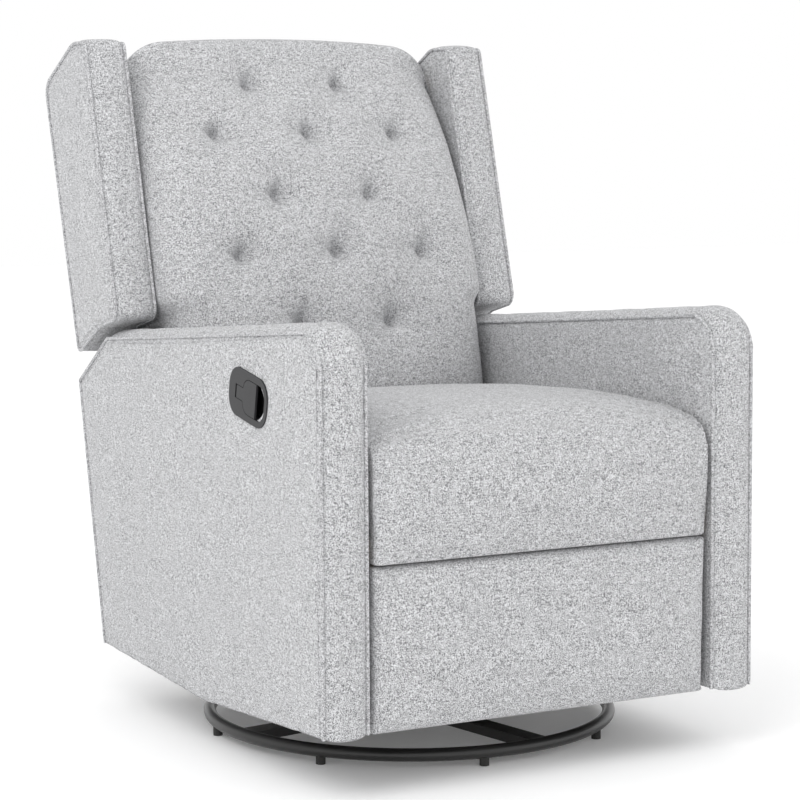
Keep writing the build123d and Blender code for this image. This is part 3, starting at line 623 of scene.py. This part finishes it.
class ChairHard(bpy.types.PropertyGroup):
    """Paint, plastic and the stage."""
    paint: bpy.props.FloatProperty(name="Base paint", description="Darkness of the base paint",
                                   default=0.014, min=0, max=1, subtype="FACTOR")
    floor: bpy.props.FloatProperty(name="Floor", description="Brightness of the floor",
                                   default=0.93, min=0, max=1, subtype="FACTOR")
    dome: bpy.props.FloatProperty(name="Surround", description="Brightness of the even light all round",
                                  default=1.0, min=0, max=5)
    key: bpy.props.FloatProperty(name="Key light", description="Strength of the large soft light",
                                 default=42.0, min=0, max=1000, unit="POWER")


class ChairStep(bpy.types.Operator):
    """Shared ways of the chair's operators."""
    bl_options = {"REGISTER", "UNDO"}

    def execute(self, context):
        self.make(context.scene.chair_cloth, context.scene.chair_hard)
        return {"FINISHED"}


class CHAIR_OT_finishes(ChairStep):
    """Makes every finish and gives the frame's own pieces theirs"""
    bl_idname = "chair.finishes"
    bl_label = "Finishes"

    def make(self, cloth, hard):
        heather("heather_linen", tuple(cloth.light), tuple(cloth.dark), cloth.weave)
        hard_finishes = {
            "base_paint": satin_paint("base_satin_black", hard.paint, 0.36),
            "mechanism_paint": satin_paint("mechanism_black", hard.paint * 1.6, 0.5),
            "bright_steel": bright_steel("drawn_steel"),
            "moulded_plastic": moulded_plastic("grained_plastic"),
            "pad_rubber": pad_rubber("floor_rubber"),
            "frame_wood": ply("birch_ply"),
            "webbing": webbing("jute_webbing"),
            "cable_sheath": cable_sheath("ribbed_sheath"),
            "upholstery_fabric": bpy.data.materials["heather_linen"],
        }
        for node in frame["nodes"].values():
            slots = node.data.materials
            for k in range(len(slots)):
                slots[k] = hard_finishes[slots[k].name.split(".")[0]]


class CHAIR_OT_arms(ChairStep):
    """Pads and covers both arms, with a welted seam round each side panel"""
    bl_idname = "chair.arms"
    bl_label = "Arms"

    def make(self, cloth, hard):
        outline = from_axis(ARM_SIDE)
        arm = side_block("arm_padding_left", outline, ARM_LOW.x - COVER_OVER, ARM_HIGH.x)
        round_corner(arm, outline[5], ARM_FRONT_ROUND)
        round_corner(arm, outline[4], 0.016, 4)
        round_corner(arm, outline[3], 0.020, 4)
        even_squares(arm)
        self.crown(arm, outline, cloth)
        right = mirrored(arm, "arm_padding_right")
        self.bezel_hole(right)
        for side, obj in ((1, arm), (-1, right)):
            hand = "left" if side > 0 else "right"
            finished(obj, "carriage")
            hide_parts("arm_cover_" + hand)
            self.seams(side, hand, outline, cloth)

    def crown(self, arm, outline, cloth):
        co, normal = points(arm), facing(arm)
        flat = co[:, 1:]
        edge = line_distance(flat, rounded(outline, 5, ARM_FRONT_ROUND))
        middle = (ARM_LOW.x + ARM_HIGH.x) / 2
        half = (ARM_HIGH.x - ARM_LOW.x) / 2
        across = np.clip(np.abs(co[:, 0] - middle) / half, 0, 1)
        outer = co[:, 0] > middle
        handle = np.array(((CUP_LOW.y + CUP_HIGH.y) / 2, (CUP_LOW.z + CUP_HIGH.z) / 2))
        clear = 1 - np.exp(-((np.linalg.norm(flat - handle, axis=1) / 0.085) ** 4))
        side = np.where(outer, cloth.panel * 1.25, -cloth.panel * 0.5) * swell(edge, 0.075) * clear
        side += np.where(outer, 0.0011, 0.0004) * ripple(co, 0.19, 1.3) * swell(edge, 0.09) * clear
        side -= np.where(outer, 1, -1) * cloth.seam * 0.8 * (1 - smoothstep(edge, 0.002, 0.011))
        co[:, 0] += side * smoothstep(np.abs(normal[:, 0]), 0.4, 0.9)
        low = smoothstep(-normal[:, 2], 0.5, 0.9)
        front = smoothstep(-normal[:, 1], 0.6, 0.95)
        full = cloth.band * (1 - 0.42 * front) * (1 - low) + 0.0008 * ripple(co, 0.16, 2.2)
        lift = full * (1 - across ** 2.2) - cloth.seam * 1.3 * smoothstep(across, 0.70, 0.97)
        lift *= smoothstep(-np.abs(normal[:, 0]), -0.9, -0.5)
        out = normal[:, 1:] / np.maximum(np.linalg.norm(normal[:, 1:], axis=1), 1e-6)[:, None]
        co[:, 1:] += out * lift[:, None]
        put(arm, co)

    def bezel_hole(self, arm):
        middle = (CUP_LOW + CUP_HIGH) / 2
        pick(None)
        bpy.ops.mesh.primitive_cylinder_add(vertices=48, radius=1, depth=0.05,
                                            location=(ARM_HIGH.x * -1, 0, 0),
                                            rotation=(0, math.pi / 2, 0))
        punch = bpy.context.object
        bpy.ops.object.transform_apply(location=True, rotation=True, scale=True)
        co = points(punch)
        tilt = math.radians(10)
        reach_y, reach_z = 0.0485, 0.0310
        y, z = co[:, 1] * reach_y, co[:, 2] * reach_z
        co[:, 1] = middle.y + y * math.cos(tilt) - z * math.sin(tilt)
        co[:, 2] = middle.z + y * math.sin(tilt) + z * math.cos(tilt)
        put(punch, co)
        pick(arm)
        bpy.ops.object.modifier_add(type="BOOLEAN")
        cut = arm.modifiers[-1]
        cut.operation = "DIFFERENCE"
        cut.object = punch
        cut.solver = "EXACT"
        bpy.ops.object.modifier_apply(modifier=cut.name)
        bpy.data.objects.remove(punch)

    def seams(self, side, hand, outline, cloth):
        line = rounded(outline, 5, ARM_FRONT_ROUND, 14)
        run = along(line[2:] + [line[0]], 0.008)
        depth = cloth.seam * 0.35
        centre = np.mean(np.array(outline), axis=0)
        for rim, x in (("outer", ARM_HIGH.x - depth), ("inner", ARM_LOW.x - COVER_OVER + depth)):
            path = [(side * x, *(p + (centre - p) / np.linalg.norm(centre - p) * depth)) for p in run]
            roll = welt(f"arm_welt_{rim}_{hand}", path, cloth.seam)
            finished(roll, "carriage")
        inset = [(p + (centre - p) / np.linalg.norm(centre - p) * 0.010) for p in run]
        x = ARM_HIGH.x + 0.0006
        thread = [(side * x, *p) for p in inset]
        row = stitches(f"arm_stitches_{hand}", thread, STITCH_EVERY, STITCH_THREAD, (side, 0, 0))
        finished(row, "carriage")


class CHAIR_OT_seat(ChairStep):
    """Stuffs the seat cushion, rolled over its front edge"""
    bl_idname = "chair.seat"
    bl_label = "Seat cushion"

    def make(self, cloth, hard):
        outline = from_axis(SEAT_SIDE)
        half = SEAT_HIGH.x - 0.0015
        seat = side_block("seat_padding", outline, -half, half)
        even_squares(seat)
        relax(seat, 4)
        co, normal = points(seat), facing(seat)
        across = np.clip(np.abs(co[:, 0]) / half, 0, 1)
        up = smoothstep(normal[:, 2], 0.1, 0.8) * smoothstep(co[:, 2], 0.40, 0.47)
        front = smoothstep(-normal[:, 1], 0.3, 0.9) * smoothstep(co[:, 1], -0.40, -0.43)
        arch = 1 - across ** 3.2
        height = smoothstep(co[:, 2], SEAT_LOW.z, SEAT_LOW.z + 0.03)
        co[:, 2] += up * (0.010 * arch - 0.006 * smoothstep(across, 0.90, 1.0)
                          + 0.0012 * ripple(co, 0.21, 0.4))
        co[:, 1] -= front * (0.007 * arch * height - 0.007 * smoothstep(across, 0.93, 1.0)
                             + 0.0008 * ripple(co, 0.17, 3.0))
        side = smoothstep(np.abs(normal[:, 0]), 0.5, 0.95)
        rise = np.clip((co[:, 2] - 0.36) / 0.13, 0, 1)
        co[:, 0] += np.sign(co[:, 0]) * side * 0.0025 * np.sin(rise * math.pi)
        put(seat, co)
        held = (co[:, 2] < 0.362) | (co[:, 1] > SEAT_HIGH.y - 0.006) | (np.abs(co[:, 0]) > half - 0.004)
        stuff(seat, 4.0, 0.005, held)
        relax(seat, 1)
        finished(seat, "carriage")
        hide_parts("seat_cushion")


class CHAIR_OT_footrest(ChairStep):
    """Stuffs the footrest pad over its board"""
    bl_idname = "chair.footrest"
    bl_label = "Footrest pad"

    def make(self, cloth, hard):
        pick(None)
        middle = (FOOT_LOW + FOOT_HIGH) / 2
        size = FOOT_HIGH - FOOT_LOW
        bpy.ops.mesh.primitive_cube_add(size=1, location=middle, scale=(size.x, size.y, size.z))
        pad = bpy.context.object
        pad.name = "footrest_padding"
        bpy.ops.object.transform_apply(location=True, rotation=True, scale=True)
        open_mesh(pad)
        choose_edges(pad, lambda a, b: max(a.y, b.y) < middle.y)
        bpy.ops.mesh.bevel(offset=0.010, segments=4, affect="EDGES")
        close_mesh()
        even_squares(pad, 0.0045)
        relax(pad, 2)
        co, normal = points(pad), facing(pad)
        u = np.clip(np.abs(co[:, 0] - middle.x) / (size.x / 2), 0, 1)
        v = np.clip(np.abs(co[:, 2] - middle.z) / (size.z / 2), 0, 1)
        front = smoothstep(-normal[:, 1], 0.2, 0.8)
        co[:, 1] -= front * ((1 - u ** 6) * (1 - v ** 4) * 0.0065 + 0.0009 * ripple(co, 0.16, 1.9))
        put(pad, co)
        held = co[:, 1] > FOOT_LOW.y + 0.012
        stuff(pad, 4.0, 0.004, held)
        finished(pad, "footrest")
        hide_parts("footrest_cushion")


class CHAIR_OT_back(ChairStep):
    """Makes the diamond-tufted back cushion"""
    bl_idname = "chair.back"
    bl_label = "Tufted back"

    def make(self, cloth, hard):
        wide, tall = 104, 148
        pick(None)
        bpy.ops.mesh.primitive_grid_add(x_subdivisions=wide, y_subdivisions=tall, size=2)
        back = bpy.context.object
        back.name = "back_padding"
        co = points(back)
        u, v = co[:, 0], (co[:, 1] + 1) / 2
        x, depth, height = self.form(u, v)
        sunk = self.dips(x, height, cloth.tuft) * smoothstep(-depth, -0.02, 0.03)
        put(back, self.stand(x, depth + sunk, height))
        self.close(back)
        stuff(back, 4.0, 0.006, self.fast(back))
        pick(back)
        bpy.ops.object.modifier_add(type="SUBSURF")
        back.modifiers[-1].levels = back.modifiers[-1].render_levels = 1
        bpy.ops.object.modifier_apply(modifier=back.modifiers[-1].name)
        co = points(back)
        depth, height = in_back(co)
        pinch = self.pinches(co[:, 0], height, cloth.tuft) * smoothstep(-depth, -0.02, 0.03)
        put(back, self.stand(co[:, 0], depth + pinch, height))
        pick(back)
        bpy.ops.object.shade_smooth()
        finished(back, "backrest")
        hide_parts("back_cushion")

    def form(self, u, v):
        """The untufted front and top, across u (-1 to 1) and along v (0 low front, 1 rear of the top)."""
        line = np.array(BACK_LINE)
        run = np.concatenate(([0], np.cumsum(np.linalg.norm(np.diff(line, axis=0), axis=1))))
        at = v * run[-1]
        depth, height = self.smooth(at, run, line[:, 0]), self.smooth(at, run, line[:, 1])
        wider = smoothstep(height, BACK_WIDENS - 0.004, BACK_WIDENS + 0.030)
        half = BACK_HALF_LOW + (BACK_HALF - BACK_HALF_LOW) * wider
        x = u * half
        turn = height > BACK_LINE[-3][1] - BACK_CORNER
        top_start = BACK_LINE[-3][1] - BACK_CORNER
        past = np.clip((np.abs(x) - (BACK_HALF - BACK_CORNER)) / BACK_CORNER, 0, 1)
        drop = np.where(height > top_start, (height - top_start) * (1 - np.sqrt(1 - past ** 2)), 0)
        arch = BACK_ARCH * (np.abs(x) / 0.22) ** 2.2 * smoothstep(height, 0.50, BACK_LINE[-3][1])
        height = height - drop - arch
        on_front = 1 - smoothstep(depth, -0.045, 0.030)
        bow = BACK_BOW * (np.abs(x) / 0.22) ** 2 * (0.35 + 0.65 * on_front)
        near = 1 - np.clip((half - np.abs(x)) / BACK_ROLL, 0, 1)
        roll = BACK_ROLL * (1 - np.sqrt(np.clip(1 - near ** 2, 0, 1)))
        depth = np.minimum(depth + (bow + roll) * np.where(turn, on_front, 1.0), BACK_REAR)
        return x, depth, height

    def smooth(self, at, run, values):
        """Catmull-Rom through values at distances run."""
        k = np.clip(np.searchsorted(run, at, side="right") - 1, 0, len(run) - 2)
        t = (at - run[k]) / (run[k + 1] - run[k])
        slope = np.gradient(values, run)
        gap = run[k + 1] - run[k]
        a, b = values[k], values[k + 1]
        return ((2 * t ** 3 - 3 * t ** 2 + 1) * a + (t ** 3 - 2 * t ** 2 + t) * gap * slope[k]
                + (3 * t ** 2 - 2 * t ** 3) * b + (t ** 3 - t ** 2) * gap * slope[k + 1])

    def dips(self, x, height, deep):
        """The broad hollows round the tufts."""
        pull = np.zeros(len(x))
        for tx, th in TUFTS:
            r = np.hypot(x - tx, height - th)
            pull = np.maximum(pull, deep * 0.30 * np.exp(-((r / 0.042) ** 1.6)))
        co = np.stack([x, height, x * 0], axis=1)
        return pull + 0.0010 * ripple(co, 0.13, 4.4)

    def pinches(self, x, height, deep):
        """The tight pinch at each tuft, steep below and soft above, and the pleats that run out of it."""
        pull = np.zeros(len(x))
        for k, (tx, th) in enumerate(TUFTS):
            dx, dh = x - tx, height - th
            r = np.hypot(dx, dh)
            lean = 0.5 + 0.5 * (dx * 0.62 + dh * 0.78) / np.maximum(r, 1e-6)
            reach = 0.0050 + 0.0125 * lean ** 1.6
            pull = np.maximum(pull, deep * 0.68 * np.exp(-((r / reach) ** 1.35)))
            for turn, long in ((-0.36, 0.050), (2.75, 0.034), (1.05, 0.030), (-2.2, 0.022)):
                turn += 0.22 * math.sin(2.3 * k + 7 * turn)
                way, high = math.cos(turn), math.sin(turn)
                ahead = dx * way + dh * high
                aside = dh * way - dx * high + 0.10 * ahead * math.sin(k + 1.7 * turn)
                wide = np.where(aside > 0, 0.0120, 0.0032)
                fold = np.where(ahead > 0, np.exp(-(ahead / long) ** 2), 0) * smoothstep(r, 0.002, 0.012)
                pull += deep * 0.13 * fold * np.exp(-((aside / wide) ** 2))
        return pull

    def stand(self, x, depth, height):
        y, z = on_back(0, 0)
        return np.stack([x, y + depth * math.cos(LEAN) + height * math.sin(LEAN),
                         z - depth * math.sin(LEAN) + height * math.cos(LEAN)], axis=1)

    def close(self, back):
        """Closes the form: the rim runs back to the rear plane, which is filled flat."""
        open_mesh(back)
        bpy.context.tool_settings.mesh_select_mode = (False, True, False)
        bpy.ops.mesh.select_all(action="DESELECT")
        bpy.ops.mesh.select_non_manifold()
        bpy.ops.mesh.extrude_region_move(TRANSFORM_OT_translate={"value": (0, 0, 0)})
        close_mesh()
        co = points(back)
        picked = np.empty(len(co), bool)
        back.data.vertices.foreach_get("select", picked)
        depth, height = in_back(co)
        rear = self.stand(co[:, 0], np.full(len(co), BACK_REAR), height)
        co[picked] = rear[picked]
        put(back, co)
        open_mesh(back)
        bpy.ops.mesh.edge_face_add()
        choose_all()
        bpy.ops.mesh.remove_doubles(threshold=0.0002)
        bpy.ops.mesh.normals_make_consistent(inside=False)
        close_mesh()

    def fast(self, back):
        """Held fast: the tufts, the rear, the foot and the sides beside the wings."""
        co = points(back)
        depth, height = in_back(co)
        held = (depth > 0.010) | (height < 0.12) | (np.abs(co[:, 0]) > BACK_HALF_LOW - 0.006)
        for tx, th in TUFTS:
            held |= np.hypot(co[:, 0] - tx, height - th) < 0.013
        return held


class CHAIR_OT_wings(ChairStep):
    """Pads and covers both wings"""
    bl_idname = "chair.wings"
    bl_label = "Wings"

    def make(self, cloth, hard):
        outline = [on_back(*p) for p in WING_PLANE]
        wing = side_block("wing_padding_left", outline, WING_LOW.x - COVER_OVER, WING_HIGH.x - 0.003)
        for corner, radius in WING_ROUNDS:
            round_corner(wing, outline[corner], radius, 6)
        even_squares(wing, 0.0045)
        self.crown(wing, outline, cloth)
        right = mirrored(wing, "wing_padding_right")
        for side, obj in ((1, wing), (-1, right)):
            hand = "left" if side > 0 else "right"
            finished(obj, "backrest")
            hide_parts("wing_cover_" + hand)
            self.seams(side, hand, outline, cloth)

    def line(self, outline):
        line = outline
        for corner, radius in reversed(WING_ROUNDS):
            line = rounded(line, corner, radius, 6)
        return line

    def crown(self, wing, outline, cloth):
        co, normal = points(wing), facing(wing)
        low, high = co[:, 0].min(), co[:, 0].max()
        middle, half = (low + high) / 2, (high - low) / 2
        edge = line_distance(co[:, 1:], self.line(outline))
        outer = co[:, 0] > middle
        across = np.clip(np.abs(co[:, 0] - middle) / half, 0, 1)
        side = np.where(outer, cloth.panel * 1.1, 0) * swell(edge, 0.06)
        side += np.where(outer, 0.0010, 0.0003) * ripple(co, 0.15, 5.2) * swell(edge, 0.07)
        side -= np.where(outer, 1, -1) * cloth.seam * 0.8 * (1 - smoothstep(edge, 0.002, 0.011))
        co[:, 0] += side * smoothstep(np.abs(normal[:, 0]), 0.4, 0.9)
        full = cloth.band * 0.5 + 0.0007 * ripple(co, 0.12, 0.9)
        lift = full * (1 - across ** 2.4) - cloth.seam * 1.2 * smoothstep(across, 0.70, 0.97)
        lift *= smoothstep(-np.abs(normal[:, 0]), -0.9, -0.5)
        lift *= 1 - 0.8 * smoothstep(-normal[:, 2], 0.5, 0.9)
        out = normal[:, 1:] / np.maximum(np.linalg.norm(normal[:, 1:], axis=1), 1e-6)[:, None]
        co[:, 1:] += out * lift[:, None]
        put(wing, co)

    def seams(self, side, hand, outline, cloth):
        line = self.line(outline)
        run = along(line, 0.007, closed=True)
        centre = np.mean(np.array(outline), axis=0)
        depth = cloth.seam * 0.35
        for rim, x in (("outer", WING_HIGH.x - 0.003 - depth), ("inner", WING_LOW.x - COVER_OVER + depth)):
            path = [(side * x, *(p + (centre - p) / np.linalg.norm(centre - p) * depth)) for p in run]
            finished(welt(f"wing_welt_{rim}_{hand}", path, cloth.seam, closed=True), "backrest")
        inset = [(p + (centre - p) / np.linalg.norm(centre - p) * 0.010) for p in run]
        for rim, x, out in (("outer", WING_HIGH.x - 0.0022, side), ("inner", WING_LOW.x + 0.0002, -side)):
            thread = [(side * x, *p) for p in inset]
            row = stitches(f"wing_stitches_{rim}_{hand}", thread, STITCH_EVERY, STITCH_THREAD, (out, 0, 0))
            finished(row, "backrest")


class CHAIR_OT_rear(ChairStep):
    """Covers the outside back and the panel below it"""
    bl_idname = "chair.rear"
    bl_label = "Outside back"

    def make(self, cloth, hard):
        self.outside(cloth)
        self.sides()
        self.valance(cloth)

    def outside(self, cloth):
        outline = [on_back(OUTSIDE_FRONT, OUTSIDE_LOW), on_back(OUTSIDE_FRONT, ROLL_LOW),
                   on_back(ROLL_FRONT, ROLL_LOW), on_back(ROLL_FRONT, ROLL_TOP),
                   on_back(OUTSIDE_REAR, OUTSIDE_TOP), on_back(OUTSIDE_REAR, OUTSIDE_LOW)]
        panel = side_block("outside_back_cover", outline, -BACK_HALF + 0.0005, BACK_HALF - 0.0005)
        for corner in (3, 4):
            round_corner(panel, outline[corner], ROLL_ROUND)
        even_squares(panel, CLOTH_SQUARE)
        co, normal = points(panel), facing(panel)
        depth, height = in_back(co)
        half = BACK_HALF - 0.0005
        narrow = (BACK_HALF_LOW + 0.0005 + (half - BACK_HALF_LOW - 0.0005)
                  * smoothstep(height, BACK_WIDENS, BACK_WIDENS + 0.012))
        co[:, 0] *= narrow / half
        edge = np.minimum(narrow - np.abs(co[:, 0]), np.minimum(OUTSIDE_TOP - height, height - OUTSIDE_LOW))
        rear = smoothstep(normal[:, 1] * math.cos(LEAN) - normal[:, 2] * math.sin(LEAN), 0.3, 0.9)
        full = (0.0065 + 0.0012 * ripple(co, 0.22, 2.7)) * swell(edge, 0.10)
        push = rear * (full - 0.0015 * (edge < 0.004))
        co[:, 1] += push * math.cos(LEAN)
        co[:, 2] -= push * math.sin(LEAN)
        put(panel, co)
        finished(panel, "backrest")
        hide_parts("outside_back")
        wide, slim = half - 0.0015, BACK_HALF_LOW - 0.001
        shoulder, top = BACK_WIDENS + 0.012, OUTSIDE_TOP - ROLL_ROUND
        rim = [(-slim, OUTSIDE_LOW), (-slim, BACK_WIDENS), (-wide, shoulder), (-wide, top),
               (wide, top), (wide, shoulder), (slim, BACK_WIDENS), (slim, OUTSIDE_LOW)]
        run = [(p[0], *on_back(OUTSIDE_REAR - 0.001, p[1])) for p in along(rim, 0.008, closed=True)]
        finished(welt("outside_back_welt", run, cloth.seam, closed=True), "backrest")

    def sides(self):
        """The cloth that closes each side of the back, and the ledge under the wings, behind the cushion."""
        low, high, ledge = SIDE_COVER_LOW, SIDE_COVER_HIGH, SIDE_COVER_HIGH - LEDGE_DEEP
        for name, outside, bottom in (("back_side_cover", SIDE_COVER_OUT, low),
                                      ("back_ledge_cover", BACK_HALF - LEDGE_SHY, ledge)):
            near, far = BACK_REAR - SIDE_COVER_LAP, OUTSIDE_FRONT + SIDE_COVER_TUCK
            outline = [on_back(near, bottom), on_back(near, high), on_back(far, high), on_back(far, bottom)]
            cover = side_block(f"{name}_left", outline, SIDE_COVER_IN, outside)
            even_squares(cover, SIDE_COVER_SQUARE)
            for piece in (cover, mirrored(cover, f"{name}_right")):
                finished(piece, "backrest")

    def valance(self, cloth):
        node = frame["nodes"]["rear_valance"]
        panel = bpy.data.objects.new("rear_valance_cover", node.data.copy())
        bpy.context.scene.collection.objects.link(panel)
        open_mesh(panel)
        choose_all()
        bpy.ops.mesh.remove_doubles(threshold=0.00005)
        close_mesh()
        even_squares(panel, CLOTH_SQUARE)
        co, normal = points(panel), facing(panel)
        edge = np.minimum(VALANCE_HIGH.x - np.abs(co[:, 0]),
                          np.minimum(co[:, 2] - VALANCE_LOW.z, VALANCE_HIGH.z - co[:, 2]))
        co[:, 1] += smoothstep(normal[:, 1], 0.3, 0.9) * 0.004 * swell(edge, 0.05)
        put(panel, co)
        finished(panel, "carriage")
        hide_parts("rear_valance")


class CHAIR_OT_stage(ChairStep):
    """Sets the floor, the lights and the camera"""
    bl_idname = "chair.stage"
    bl_label = "Stage"

    def make(self, cloth, hard):
        pick(None)
        bpy.ops.mesh.primitive_plane_add(size=24, location=(0, 0, -0.0005))
        floor = bpy.context.object
        floor.name = "studio_floor"
        bpy.ops.object.transform_apply(location=True, rotation=True, scale=True)
        clothe(floor, floor_paint("studio_floor_paint", hard.floor))
        world = bpy.data.worlds.new("studio")
        world.use_nodes = True
        world.node_tree.nodes["Background"].inputs["Color"].default_value = (1, 1, 1, 1)
        world.node_tree.nodes["Background"].inputs["Strength"].default_value = hard.dome
        bpy.context.scene.world = world
        self.softbox("key", (-2.4, -1.7, 3.1), 2.6, hard.key)
        self.softbox("fill", (2.6, -2.6, 1.6), 3.0, hard.key * 0.12)
        view = bpy.data.cameras.new("studio_camera")
        view.lens, view.sensor_width = 113.16, 36.0
        view.clip_end = 100
        camera = bpy.data.objects.new("studio_camera", view)
        camera.location = (-1.8557, -3.2735 + AXIS_Y, 0.8965)
        camera.rotation_euler = (math.pi / 2 - 0.108, 0, -0.512)
        bpy.context.scene.collection.objects.link(camera)
        bpy.context.scene.camera = camera
        bpy.context.scene.view_settings.view_transform = "Standard"

    def softbox(self, name, place, size, power):
        lamp = bpy.data.lights.new(name, "AREA")
        lamp.shape, lamp.size, lamp.energy = "DISK", size, power
        box = bpy.data.objects.new(name, lamp)
        box.location = place
        box.rotation_euler = (Vector((0, 0, 0.55)) - Vector(place)).to_track_quat("-Z", "Y").to_euler()
        bpy.context.scene.collection.objects.link(box)


STEPS = (CHAIR_OT_finishes, CHAIR_OT_stage, CHAIR_OT_arms, CHAIR_OT_seat, CHAIR_OT_footrest, CHAIR_OT_back,
         CHAIR_OT_wings, CHAIR_OT_rear)


class CHAIR_PT_panel(bpy.types.Panel):
    """Lists the chair's steps and sizes"""
    bl_idname = "CHAIR_PT_panel"
    bl_label = "Nursery glider"
    bl_space_type = "VIEW_3D"
    bl_region_type = "UI"
    bl_category = "Chair"

    def draw(self, context):
        for group in (context.scene.chair_cloth, context.scene.chair_hard):
            for name in group.__annotations__:
                self.layout.prop(group, name)
        for step in STEPS:
            self.layout.operator(step.bl_idname)


CLASSES = (ChairCloth, ChairHard, *STEPS, CHAIR_PT_panel)


def register():
    for made in CLASSES:
        bpy.utils.register_class(made)
    bpy.types.Scene.chair_cloth = bpy.props.PointerProperty(type=ChairCloth)
    bpy.types.Scene.chair_hard = bpy.props.PointerProperty(type=ChairHard)


def unregister():
    del bpy.types.Scene.chair_cloth
    del bpy.types.Scene.chair_hard
    for made in reversed(CLASSES):
        bpy.utils.unregister_class(made)


def main():
    register()
    bpy.ops.chair.finishes()
    bpy.ops.chair.stage()
    bpy.ops.chair.arms()
    bpy.ops.chair.seat()
    bpy.ops.chair.footrest()
    bpy.ops.chair.back()
    bpy.ops.chair.wings()
    bpy.ops.chair.rear()
    write_sizes()


def write_sizes():
    """Imports json and does nothing more."""
    import json


if __name__ == "__main__":
    main()
